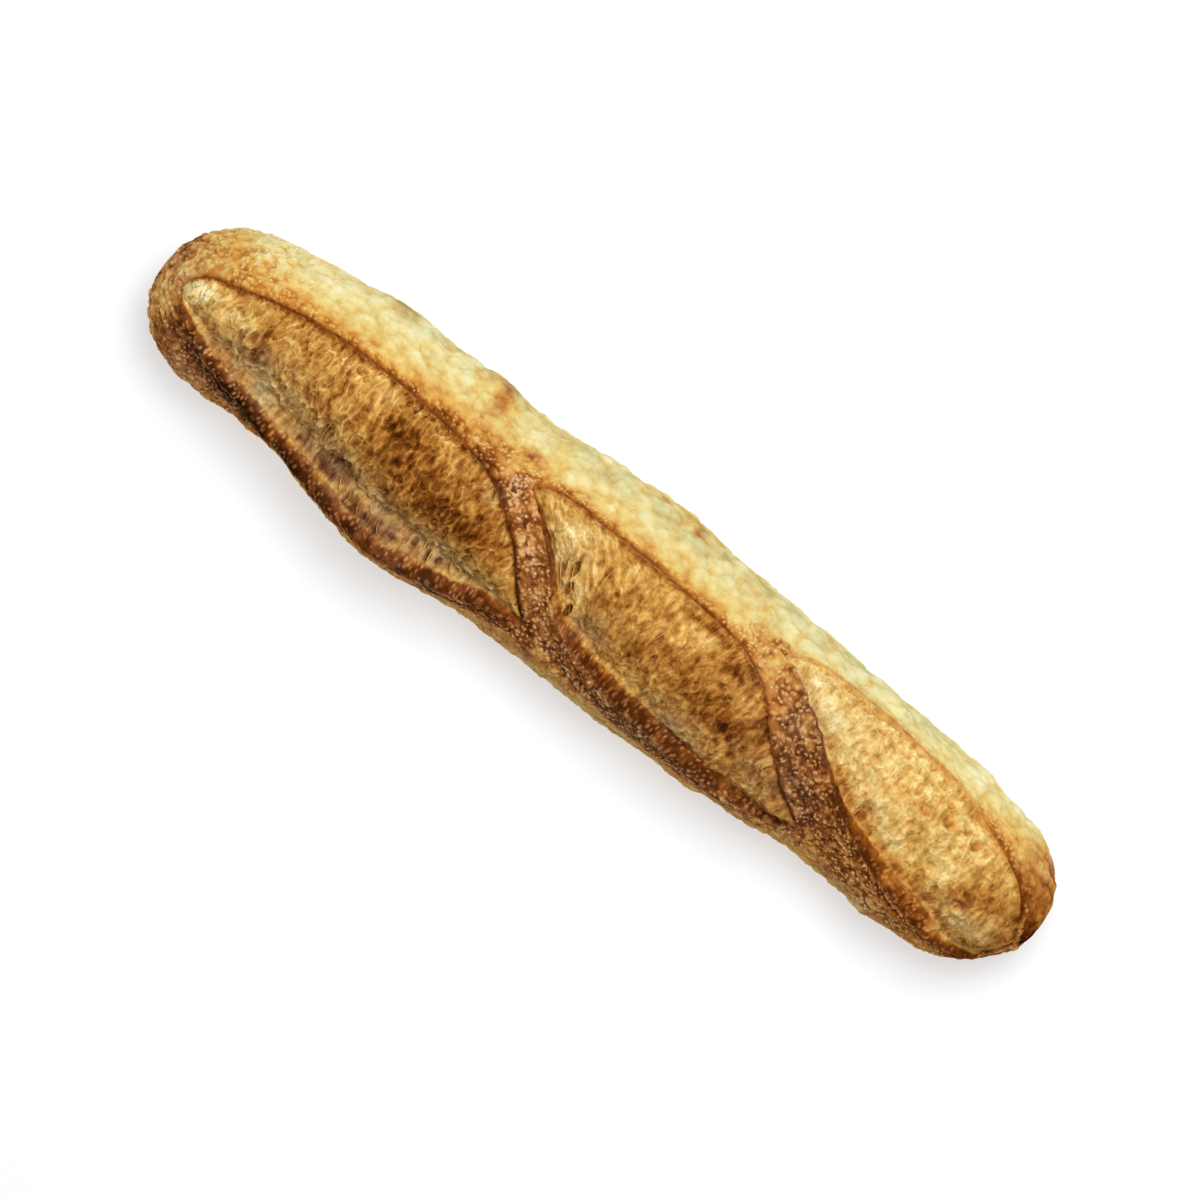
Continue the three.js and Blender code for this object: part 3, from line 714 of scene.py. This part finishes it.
def toast_crumb(loaf):
    """How far the oven toasted the crumb, with painted shade added in its gas holes, and where crumb and
    crust stayed moist.
    """
    # The gas holes are darkened as painted shade, the deeper ones more.
    toast = patches(TOASTED, *loaf.seen) + 0.24 * np.clip(loaf.holes / 1.4, 0, 1)
    toast = toast + 0.16 * layered(loaf.at, 9, 83) + 0.10 * layered(loaf.drawn, (3, 6, 3), 84, 2)
    for cut in loaf.cuts:
        slash = cut.slash
        by_lip = max(0, slash.lip_line - slash.crumb) * bell((cut.past_lip - 0.6) / 0.8)
        on_face = slash.face_toast * smooth(0, 0.35, cut.ear)
        toast = toast + cut.inside * (slash.crumb + by_lip + on_face) - slash.fringe * cut.fringe
    loaf.toast = toast
    moist = patches(MOIST, *loaf.seen) + 0.42 * smooth(13, 25, loaf.at[..., 1]) * (1 - loaf.inside)
    moist = np.clip(moist * (0.7 + noise(loaf.at, 6, 91)), 0, 1)
    loaf.moist = moist * smooth(-0.2, 0.3, loaf.up)


def loaf_surface():
    """The whole surface: its points, and all that the bread's material reads at each of them."""
    loaf = plain_loaf()
    cover_with_blisters(loaf)
    tear_crumb(loaf)
    raise_forms(loaf)
    part_crust_from_crumb(loaf)
    raise_detail(loaf)
    brown_crust(loaf)
    toast_crumb(loaf)
    return loaf


# ---- The loaf's mesh ---------------------------------------------------------------------------

# What the bread's material reads at each point.
POINT_VALUES = ("torn", "bake", "toast", "flour", "level", "moist", "blistered", "webbed", "at_tip")


def keep_at_points(mesh, name, values):
    mesh.attributes.new(name, "FLOAT", "POINT").data.foreach_set("value", values.astype(np.float32))


def loaf_faces(high):
    """Triangles between rings, each patch split along its more level diagonal, and a fan at each tip."""
    rings, around = high.shape
    index = np.arange(high.size).reshape(rings, around)
    a, b = index[:-1], np.roll(index, -1, 1)[:-1]
    c, d = index[1:], np.roll(index, -1, 1)[1:]
    high = high.ravel()
    level = (np.abs(high[a] - high[d]) <= np.abs(high[b] - high[c]))[..., None]
    first = np.where(level, np.stack([a, b, d], -1), np.stack([a, b, c], -1))
    second = np.where(level, np.stack([a, d, c], -1), np.stack([b, d, c], -1))
    start, end = index[0], index[-1]
    left = np.stack([np.full(around, high.size), np.roll(start, -1), start], -1)
    right = np.stack([np.full(around, high.size + 1), end, np.roll(end, -1)], -1)
    return np.concatenate([first.reshape(-1, 3), second.reshape(-1, 3), left, right])


def loaf_maps(loaf, faces):
    """Two maps of the surface: OFBake within the unit square, and Grain in drawn-out millimetres."""
    around = loaf.torn.shape[1]
    along = np.append(loaf.grain[..., 0].ravel(), [0, TRAVEL])
    arc = np.append(loaf.grain[..., 1].ravel(), [0, 0])[faces]
    turn = np.append(np.repeat(loaf.girth, around), [0, 0])[faces]
    # The base's middle line is the seam: past it, a corner counts one whole turn more.
    crossing = (arc.max(1) - arc.min(1)) > 0.5 * turn.max(1)
    extra = turn * (crossing[:, None] & (arc < 0))
    flat = np.stack([along[faces], arc + extra], -1)
    flat = flat * (0.99 / TRAVEL, 0.98 / loaf.girth.max()) + (0.005, 0.5)
    drawn = np.concatenate([loaf.drawn[..., :2].reshape(-1, 2), [[0, 0], [TRAVEL, 0]]])[faces]
    drawn[..., 1] += extra
    return {"OFBake": flat, "Grain": drawn}


def loaf_mesh(loaf):
    tip_x = np.array([-LENGTH / 2, LENGTH / 2])
    tips = np.stack([tip_x, section(tip_x).middle, np.full(2, float(WAIST))], axis=-1)
    points = np.concatenate([loaf.points.reshape(-1, 3), tips])
    faces = loaf_faces(loaf.rise)
    mesh = bpy.data.meshes.new("baguette_loaf")
    mesh.vertices.add(len(points))
    mesh.vertices.foreach_set("co", (points * MM).astype(np.float32).ravel())
    mesh.loops.add(faces.size)
    mesh.loops.foreach_set("vertex_index", faces.astype(np.int32).ravel())
    mesh.polygons.add(len(faces))
    mesh.polygons.foreach_set("loop_start", np.arange(0, faces.size, 3, dtype=np.int32))
    for name in POINT_VALUES:
        value = getattr(loaf, name)
        keep_at_points(mesh, name, np.append(value.ravel(), [value[0].mean(), value[-1].mean()]))
    for name, places in loaf_maps(loaf, faces).items():
        mesh.uv_layers.new(name=name).data.foreach_set("uv", places.astype(np.float32).ravel())
    mesh.uv_layers["OFBake"].active = True
    mesh.update(calc_edges=True)
    mesh.validate()
    mesh.shade_smooth()
    return mesh


def put(name, data):
    """A new object in the scene."""
    made = bpy.data.objects.new(name, data)
    bpy.context.scene.collection.objects.link(made)
    return made


def piece(name, mesh, material):
    mesh.materials.append(material)
    return put(name, mesh)


# ---- Loose strands of torn crumb ---------------------------------------------------------------

# Single strands that stand out: points in plan, and how far the middle stands off the crumb.
STRANDS = [
    ([(-92.6, -5), (-92.2, -9), (-92.4, -13), (-91.2, -17)], 0.9),
    ([(-52.2, -8.2), (-50.4, -7.2), (-48.8, -9.6), (-49.4, -12.8), (-51.2, -13.8)], 0.7),
    ([(-49.6, -19), (-49.2, -22.5), (-48.4, -26.2)], 1.6),
    ([(-47, -18.4), (-46.6, -22), (-45.8, -25.6)], 1.5),
    ([(-77, -19.5), (-75.4, -22.6), (-75.8, -25.4)], 1.4),
    ([(-72.6, -20), (-72, -23), (-70.4, -26)], 1.5), ([(-69.4, -21), (-67, -23.2), (-66.4, -26.4)], 1.2),
    ([(-64.6, -20.6), (-64, -24), (-62.2, -27)], 1.3), ([(-81, -19), (-79.6, -21.6), (-78, -24)], 1.2),
    ([(-40.6, -18), (-39.8, -20.8), (-38.2, -23)], 1.0),
    ([(-17.2, 3.4), (-14.4, -1.4), (-10.4, -6.6), (-6.4, -11.6)], 0.8),
    ([(-12.4, 3.6), (-10, -1.8), (-6.4, -7.2), (-3.6, -12)], 0.8),
    ([(-1.4, 8.6), (-2.2, 3.4), (-1.6, -1.6)], 0.5), ([(20.4, 7), (20.8, 2), (19.2, -3)], 0.5),
    ([(91.4, 2.6), (91, -1.6), (91.6, -5.4)], 0.5), ([(95.4, 1.4), (96.6, -2.6), (96, -6.6)], 0.5),
    ([(124.6, -3), (125.6, -7.4), (125.2, -11.4)], 0.6), ([(-121.8, 3), (-121.2, -2), (-121.6, -8)], 0.5),
]
STRAND_RADIUS = 0.2
STRAND_STEPS = 9
STRAND_SIDES = 5
SHORT_STRANDS = 140  # tries at a short one, of which those that leave the crumb are dropped
SHORT_LENGTH = (1.4, 3.8)
SHORT_RADIUS = (0.13, 0.22)
SHORT_LIFT = (0.05, 0.3)
SHORT_SPREAD = 0.45  # how far its heading strays from the fibres
SHORT_WANDER = 0.28  # and how far it turns at each step
SUNK = 0.05  # how deep both ends of a strand sit in the crumb


def on_crumb(slash, x, y):
    """How far a place in plan lies within a slash's crumb, negative off it."""
    return min(through(slash.far_lip, x) - 1 - y, y - through(slash.crest, x) - through(slash.rim, x) - 0.5)


def strand_paths(loaf):
    """The named strands, then short ones scattered over the crumb along its fibres."""
    for points, lift in STRANDS:
        at = np.array(points, float)
        way = np.linspace(0, len(at) - 1, STRAND_STEPS)
        yield np.stack([through(list(enumerate(at[:, k])), way) for k in (0, 1)], -1), lift, STRAND_RADIUS
    rng = np.random.default_rng(101)
    open_wide = sum(cut.inside * cut.edge.strength for cut in loaf.cuts) > 0.7
    spots = loaf.points[(loaf.torn > 0.95) & open_wide]
    for x, y, _ in spots[rng.integers(len(spots), size=SHORT_STRANDS)]:
        slash = max(SLASHES, key=lambda s: on_crumb(s, x, y))
        length = rng.uniform(*SHORT_LENGTH)
        heading = math.pi / 2 - through(slash.lean, x) + rng.normal(0, SHORT_SPREAD)
        bends = heading + np.cumsum(rng.normal(0, SHORT_WANDER, STRAND_STEPS))
        steps = np.stack([np.cos(bends), np.sin(bends)], -1) * length / STRAND_STEPS
        path = (x, y) - np.cumsum(steps, 0)
        lift, thick = rng.uniform(*SHORT_LIFT), rng.uniform(*SHORT_RADIUS)
        if min(on_crumb(slash, *spot) for spot in path) > 0:
            yield path, lift, thick


def laid_on(loaf, path, lift):
    """A path in plan laid over the surface with its middle lifted, and the surface's mean toast there,
    painted shade of its holes included.
    """
    ring_x = loaf.points[:, :, 0].mean(1)
    rings = np.clip(np.searchsorted(ring_x, path[:, 0]), 0, len(ring_x) - 1)
    height, toast = [], []
    for (_, y), ring in zip(path, rings):
        top = np.flatnonzero(loaf.up[ring] > 0.05)
        nearest = top[np.argmin(np.abs(loaf.points[ring, top, 1] - y))]
        height.append(loaf.points[ring, nearest, 2])
        toast.append(loaf.toast[ring, nearest])
    up = np.array(height) + lift * np.sin(math.pi * np.linspace(0, 1, len(path))) - SUNK
    up = np.convolve(np.pad(up, 1, "edge"), (0.25, 0.5, 0.25), "valid")
    return np.column_stack([path, up]), np.mean(toast)


def strands_mesh(loaf):
    """Thin tapered tubes laid over the crumb, each closed at both ends."""
    turn = np.linspace(0, 2 * math.pi, STRAND_SIDES, endpoint=False)
    points, faces, toast = [], [], []
    for path, lift, thick in strand_paths(loaf):
        line, tone = laid_on(loaf, path, lift)
        ahead = np.gradient(line, axis=0)
        aside = np.cross(ahead, (0, 0, 1))
        aside /= np.linalg.norm(aside, axis=1, keepdims=True)
        over = np.cross(aside, ahead)
        over /= np.linalg.norm(over, axis=1, keepdims=True)
        share = np.linspace(0, 1, len(path))
        size = thick * np.sin(math.pi * (0.12 + 0.76 * share)) ** 0.6
        tube = line[:, None] + size[:, None, None] * (
            aside[:, None] * np.cos(turn)[:, None] + over[:, None] * np.sin(turn)[:, None]
        )
        index = len(toast) + np.arange(len(path) * STRAND_SIDES).reshape(-1, STRAND_SIDES)
        a, b, c, d = index[:-1], np.roll(index, -1, 1)[:-1], index[1:], np.roll(index, -1, 1)[1:]
        faces += np.stack([a, b, d, c], -1).reshape(-1, 4).tolist()
        faces += [index[0][::-1].tolist(), index[-1].tolist()]
        points.append(tube.reshape(-1, 3))
        toast += [tone] * index.size
    mesh = bpy.data.meshes.new("torn_crumb_strands")
    mesh.from_pydata((np.concatenate(points) * MM).tolist(), [], faces)
    keep_at_points(mesh, "toast", np.array(toast))
    mesh.shade_smooth()
    return mesh


# ---- Materials ---------------------------------------------------------------------------------


def linear(code):
    """An sRGB hex colour as the linear RGBA that Blender's sockets take."""
    parts = [int(code[i : i + 2], 16) / 255 for i in (1, 3, 5)]
    return [*(c / 12.92 if c <= 0.04045 else ((c + 0.055) / 1.055) ** 2.4 for c in parts), 1]


def add(tree, kind, inputs=(), gives=0, stops=(), **settings):
    """Adds a node and returns the output it gives.

    The kind may be followed by an operation. The inputs are in their order or by name, each a value
    or the output that feeds it. The stops are those of a ramp of colours.
    """
    kind, *operation = kind.split()
    node = tree.nodes.new("ShaderNode" + kind)
    if operation:
        node.operation = operation[0]
    for name, value in settings.items():
        setattr(node, name, value)
    for name, value in inputs.items() if isinstance(inputs, dict) else enumerate(inputs):
        if isinstance(value, bpy.types.NodeSocket):
            tree.links.new(value, node.inputs[name])
        else:
            node.inputs[name].default_value = value
    for i, (place, code) in enumerate(stops):
        stop = node.color_ramp.elements[i] if i < 2 else node.color_ramp.elements.new(place)
        stop.position, stop.color = place, linear(code)
    return node.outputs[gives]


# Crust of a lean wheat dough: starch and sugars that the oven turned from cream to near black.
CRUST_COLOURS = [
    (0.00, "#F8EEC0"), (0.15, "#EFDD9B"), (0.28, "#E3C573"), (0.41, "#D8A24E"),
    (0.54, "#BD7A33"), (0.68, "#8A4A18"), (0.83, "#562809"), (1.00, "#240D05"),
]
# Crumb that tore open late: cream where it never browned, then tan to brown.
CRUMB_COLOURS = [
    (0.00, "#FBEFC6"), (0.20, "#EBCE88"), (0.40, "#D3A455"), (0.60, "#AF7634"),
    (0.80, "#7A4414"), (1.00, "#46210A"),
]
BLISTER_TOP_AND_HIGHLIGHT_COLOUR = "#DFA866"  # tops of blisters, thin and scorched only a little, and lighter still as a painted highlight
FLOUR_COLOUR = "#E2B98E"  # rice and wheat flour, baked on
MOIST_TINT = "#DEE6D6"  # grey-green that damp starch gives, laid over the bread's own colour

BLISTER_MM = 1.55  # fine blisters of the browned crust
FLOUR_MM = 1.05  # clots of flour; single grains of 0.05 mm would not show
MOTTLE_MM = 2.6  # blotches where steam reached the crust
CELL_MM = (2.6, 6.0, 1)  # walls of torn gas cells: spacing along the loaf and across it
FIBRE_MM = (1.7, 4.2, 1)  # torn gluten: spacing along the loaf, and length across it


def new_material(name):
    material = bpy.data.materials.new(name)
    material.use_nodes = True
    material.node_tree.nodes.clear()
    return material, material.node_tree


def matt_bread(tree, shading):
    """Gives a tree its shader. Bread's pores and flour scatter all light, so it has no highlight."""
    surface = add(tree, "BsdfPrincipled", {"IOR": 1.45, "Specular IOR Level": 0.0} | shading)
    tree.links.new(surface, tree.nodes.new("ShaderNodeOutputMaterial").inputs["Surface"])


def baked_wheat_bread():
    """Lean wheat bread baked on a hearth: a hard blistered crust and a torn crumb, both dry and matt."""
    material, tree = new_material("baked_wheat_bread")
    torn, bake, toast, flour, level, moist, blistered, webbed, at_tip = (
        add(tree, "Attribute", gives="Fac", attribute_name=name) for name in POINT_VALUES
    )
    grain = add(tree, "UVMap", uv_map="Grain")
    place = add(tree, "TexCoord", gives="Object")
    in_mm = add(tree, "VectorMath SCALE", {0: place, "Scale": 1 / MM})
    mottle = add(tree, "TexNoise", {"Vector": in_mm, "Scale": 1 / MOTTLE_MM, "Detail": 2, "Roughness": 0.5})
    blotch = add(tree, "Math SUBTRACT", (mottle, 0.5))
    fine = add(tree, "TexNoise", {"Vector": in_mm, "Scale": 1 / FLOUR_MM, "Detail": 2, "Roughness": 0.6})

    # Fine blisters, in patches. They follow the grain, but the round ends have their own.
    cell = add(tree, "TexVoronoi", {"Vector": grain, "Scale": 1 / BLISTER_MM}, voronoi_dimensions="2D")
    solid = add(tree, "TexVoronoi", {"Vector": in_mm, "Scale": 1 / BLISTER_MM})
    cell = add(tree, "Mix", {0: at_tip, 2: cell, 3: solid}, data_type="FLOAT")
    dome = add(tree, "MapRange", (cell, 0.08, 0.50, 1.0, 0.0), interpolation_type="SMOOTHSTEP")
    some = add(tree, "Math MULTIPLY_ADD", (mottle, 5.0, -1.9), use_clamp=True)
    dome = add(tree, "Math MULTIPLY", (dome, some))

    # Crust: browner in its creases, which is painted shade, and in blotches; paler on top of blisters,
    # partly their own thinner crust and partly a painted highlight. Only the places that are scorched as a
    # whole go past a deep brown.
    deepest = add(tree, "Math MAXIMUM", (bake, 0.84))
    # sunk darkens the crust the lower it lies: painted shade in its creases.
    sunk = add(tree, "Math SUBTRACT", (0.33, level))
    by_level = add(tree, "Math MULTIPLY_ADD", (blistered, 0.12, 0.26))
    # paler lightens the tops of fine blisters: partly their own tone, partly a painted highlight.
    by_blister = add(tree, "Math MULTIPLY_ADD", (blistered, 0.30, 0.03))
    paler = add(tree, "Math MULTIPLY", (dome, by_blister))
    for what, much in ((sunk, by_level), (blotch, 0.40), (blistered, 0.05)):
        bake = add(tree, "Math MULTIPLY_ADD", (what, much, bake))
    bake = add(tree, "Math SUBTRACT", (bake, paler), use_clamp=True)
    bake = add(tree, "Math MINIMUM", (bake, deepest))
    crust = add(tree, "ValToRGB", (bake,), stops=CRUST_COLOURS)
    # Blister tops turn towards their colour, partly a painted highlight that stands in for sheen.
    crown = add(tree, "Math MULTIPLY", (dome, blistered))
    crown = add(tree, "Math MULTIPLY", (crown, 0.38))
    crust = add(tree, "Mix", {0: crown, 6: crust, 7: linear(BLISTER_TOP_AND_HIGHLIGHT_COLOUR)}, gives=2, data_type="RGBA")

    # Flour: clots that stay on what stands up.
    speck = add(tree, "MapRange", (fine, 0.46, 0.56, 0.0, 1.0), interpolation_type="SMOOTHSTEP")
    tops = add(tree, "Math MULTIPLY_ADD", (dome, 0.55, level))
    tops = add(tree, "MapRange", (tops, 0.30, 0.85, 0.15, 1.0), interpolation_type="SMOOTHSTEP")
    dust = add(tree, "Math MULTIPLY", (speck, flour))
    dust = add(tree, "Math MULTIPLY", (dust, tops), use_clamp=True)
    crust = add(tree, "Mix", {0: dust, 6: crust, 7: linear(FLOUR_COLOUR)}, gives=2, data_type="RGBA")

    # Crumb: drawn-out walls of gas cells that stand pale above browner pits, with fibres between. Over
    # its own toast, the pits, the hollows between fibres and the low crumb are darkened as painted shade,
    # and the walls and the high crumb are lightened, partly as painted light.
    warp = add(tree, "TexNoise", {"Vector": grain, "Scale": 0.28, "Detail": 2}, gives="Color")
    warp = add(tree, "VectorMath SUBTRACT", (warp, (0.5, 0.5, 0.5)))
    warp = add(tree, "VectorMath SCALE", {0: warp, "Scale": 2.6})
    wavy = add(tree, "VectorMath ADD", (grain, warp))
    cells = add(tree, "VectorMath DIVIDE", (wavy, CELL_MM))
    wall = add(
        tree, "TexVoronoi", {"Vector": cells, "Scale": 1.0}, voronoi_dimensions="2D",
        feature="DISTANCE_TO_EDGE",
    )
    wall = add(tree, "MapRange", (wall, 0.02, 0.15, 1.0, 0.0), interpolation_type="SMOOTHSTEP")
    some = add(tree, "Math MULTIPLY_ADD", (mottle, 4.0, -1.5), use_clamp=True)
    some = add(tree, "Math MULTIPLY", (some, webbed))
    wall = add(tree, "Math MULTIPLY", (wall, some))
    fibres = add(tree, "VectorMath DIVIDE", (wavy, FIBRE_MM))
    fibre = add(tree, "TexNoise", {"Vector": fibres, "Scale": 1.0, "Detail": 2, "Roughness": 0.5})
    # Between the fibres, and lower down, the crumb is painted browner as shade; higher up it is painted
    # paler as light.
    between = add(tree, "Math SUBTRACT", (0.5, fibre))
    contrast = add(tree, "Math MULTIPLY_ADD", (toast, 0.6, 0.25))
    high = add(tree, "Math SUBTRACT", (level, 0.5))
    for what, much in ((between, contrast), (wall, -0.16), (blotch, 0.35), (high, -0.30)):
        toast = add(tree, "Math MULTIPLY_ADD", (what, much, toast))
    toast = add(tree, "Math MAXIMUM", (toast, 0.10), use_clamp=True)
    crumb = add(tree, "ValToRGB", (toast,), stops=CRUMB_COLOURS)
    # light brightens and darkens the crumb by its relief: painted shade between fibres, painted highlights
    # on granules, and darker blotches.
    grains = add(tree, "Math SUBTRACT", (fine, 0.5))
    light = 1.05
    for what, much in ((between, -0.45), (grains, 0.95), (blotch, -0.35)):
        light = add(tree, "Math MULTIPLY_ADD", (what, much, light))
    crumb = add(tree, "HueSaturation", {"Color": crumb, "Value": light}, gives="Color")

    # Both, greyer where they stayed moist.
    colour = add(tree, "Mix", {0: torn, 6: crust, 7: crumb}, gives=2, data_type="RGBA")
    colour = add(
        tree, "Mix", {0: moist, 6: colour, 7: linear(MOIST_TINT)}, gives=2, data_type="RGBA",
        blend_type="MULTIPLY",
    )
    greyer = add(tree, "Math MULTIPLY_ADD", (moist, -0.18, 1.0))
    colour = add(tree, "HueSaturation", {"Color": colour, "Saturation": greyer}, gives="Color")

    # Grain too fine for the mesh, in millimetres.
    by_dome = add(tree, "Math MULTIPLY_ADD", (blistered, 0.26, 0.06))
    by_flour = add(tree, "Math MULTIPLY_ADD", (flour, 0.08, 0.06))
    crust_height = crumb_height = 0.0
    for what, much in ((dome, by_dome), (fine, by_flour), (mottle, 0.5)):
        crust_height = add(tree, "Math MULTIPLY_ADD", (what, much, crust_height))
    for what, much in ((fibre, 0.7), (fine, 0.30), (wall, 0.3)):
        crumb_height = add(tree, "Math MULTIPLY_ADD", (what, much, crumb_height))
    height = add(tree, "Mix", {0: torn, 2: crust_height, 3: crumb_height}, data_type="FLOAT")
    bump = add(tree, "Bump", {"Strength": 1.0, "Distance": MM, "Height": height})
    roughness = add(tree, "Mix", {0: torn, 2: 0.55, 3: 0.9}, data_type="FLOAT")
    matt_bread(tree, {"Base Color": colour, "Roughness": roughness, "Normal": bump})
    return material


def torn_gluten():
    """Threads of gluten that dried in the oven: matt, and paler than the crumb they lie on."""
    material, tree = new_material("torn_gluten")
    toast = add(tree, "Attribute", gives="Fac", attribute_name="toast")
    place = add(tree, "TexCoord", gives="Object")
    mottle = add(tree, "TexNoise", {"Vector": place, "Scale": 1 / (MOTTLE_MM * MM), "Detail": 2})
    paler = add(tree, "Math SUBTRACT", (toast, 0.10))
    blotch = add(tree, "Math SUBTRACT", (mottle, 0.5))
    toast = add(tree, "Math MULTIPLY_ADD", (blotch, 0.6, paler), use_clamp=True)
    matt_bread(tree, {"Base Color": add(tree, "ValToRGB", (toast,), stops=CRUMB_COLOURS), "Roughness": 0.9})
    return material


def white_ground():
    """Matt white card, lit from within a little so that its shadows stay pale."""
    material = bpy.data.materials.new("matt_white_card")
    material.use_nodes = True
    shader = material.node_tree.nodes["Principled BSDF"]
    for name, value in (
        ("Base Color", linear("#B8BDC2")), ("Roughness", 0.9), ("Specular IOR Level", 0.1),
        ("Emission Color", (1, 1, 1, 1)), ("Emission Strength", FLOOR_GLOW),
    ):
        shader.inputs[name].default_value = value
    return material


# ---- Stage: floor, lights and camera -----------------------------------------------------------

FLOOR_SIDE = 8.0  # metres, so that low views see no end of it
FLOOR_DROP = 0.0002  # metres between the floor and the loaf's base
FRAME_WIDTH = 0.3499  # width of the view at the height of the loaf's waist, in metres
VIEW_CENTRE = (0.0003, -0.0019)
VIEW_TURN = 37.58  # degrees from the right of the view to the loaf's +X, clockwise
LENS = 250  # a long lens, as the loaf shows no foreshortening
SENSOR = 36
FLOOR_GLOW = 0.55
WORLD_GLOW = 0.3
AIM = Vector((0, 0, 0.02))  # what the lamps point at
# Soft round lamps: name, place and size in metres, and power in watts.
LAMPS = [("key", (0.0, 0.38, 1.1), 0.7, 11), ("top", (0.1, 0.1, 1.6), 1.2, 1.5)]


def area_light(name, place, size, power):
    data = bpy.data.lights.new(name, "AREA")
    data.shape = "DISK"
    data.size = size
    data.energy = power
    lamp = put(name, data)
    lamp.location = place
    lamp.rotation_euler = (AIM - Vector(place)).to_track_quat("-Z", "Y").to_euler()


def stage():
    mesh = bpy.data.meshes.new("ground")
    corners = [(x * FLOOR_SIDE / 2, y * FLOOR_SIDE / 2, 0) for x, y in ((-1, -1), (1, -1), (1, 1), (-1, 1))]
    mesh.from_pydata(corners, [], [(0, 1, 2, 3)])
    floor = piece("ground", mesh, white_ground())
    floor.location.z = -FLOOR_DROP

    for lamp in LAMPS:
        area_light(*lamp)
    world = bpy.data.worlds.new("studio")
    world.use_nodes = True
    background = world.node_tree.nodes["Background"]
    background.inputs["Color"].default_value = (1, 1, 1, 1)
    background.inputs["Strength"].default_value = WORLD_GLOW
    bpy.context.scene.world = world

    data = bpy.data.cameras.new("camera")
    data.lens = LENS
    data.sensor_width = SENSOR
    data.clip_end = 10
    camera = put("camera", data)
    camera.location = (*VIEW_CENTRE, WAIST * MM + FRAME_WIDTH * LENS / SENSOR)
    camera.rotation_euler = (0, 0, math.radians(VIEW_TURN))
    bpy.context.scene.camera = camera
    bpy.context.scene.view_settings.view_transform = "Standard"


# ---- Assembly ----------------------------------------------------------------------------------

surface = loaf_surface()
loaf = piece("baguette_loaf", loaf_mesh(surface), baked_wheat_bread())
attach(loaf, "root")
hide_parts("loaf")
strands = piece("torn_crumb_strands", strands_mesh(surface), torn_gluten())
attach(strands, "root")
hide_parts("loaf")
stage()
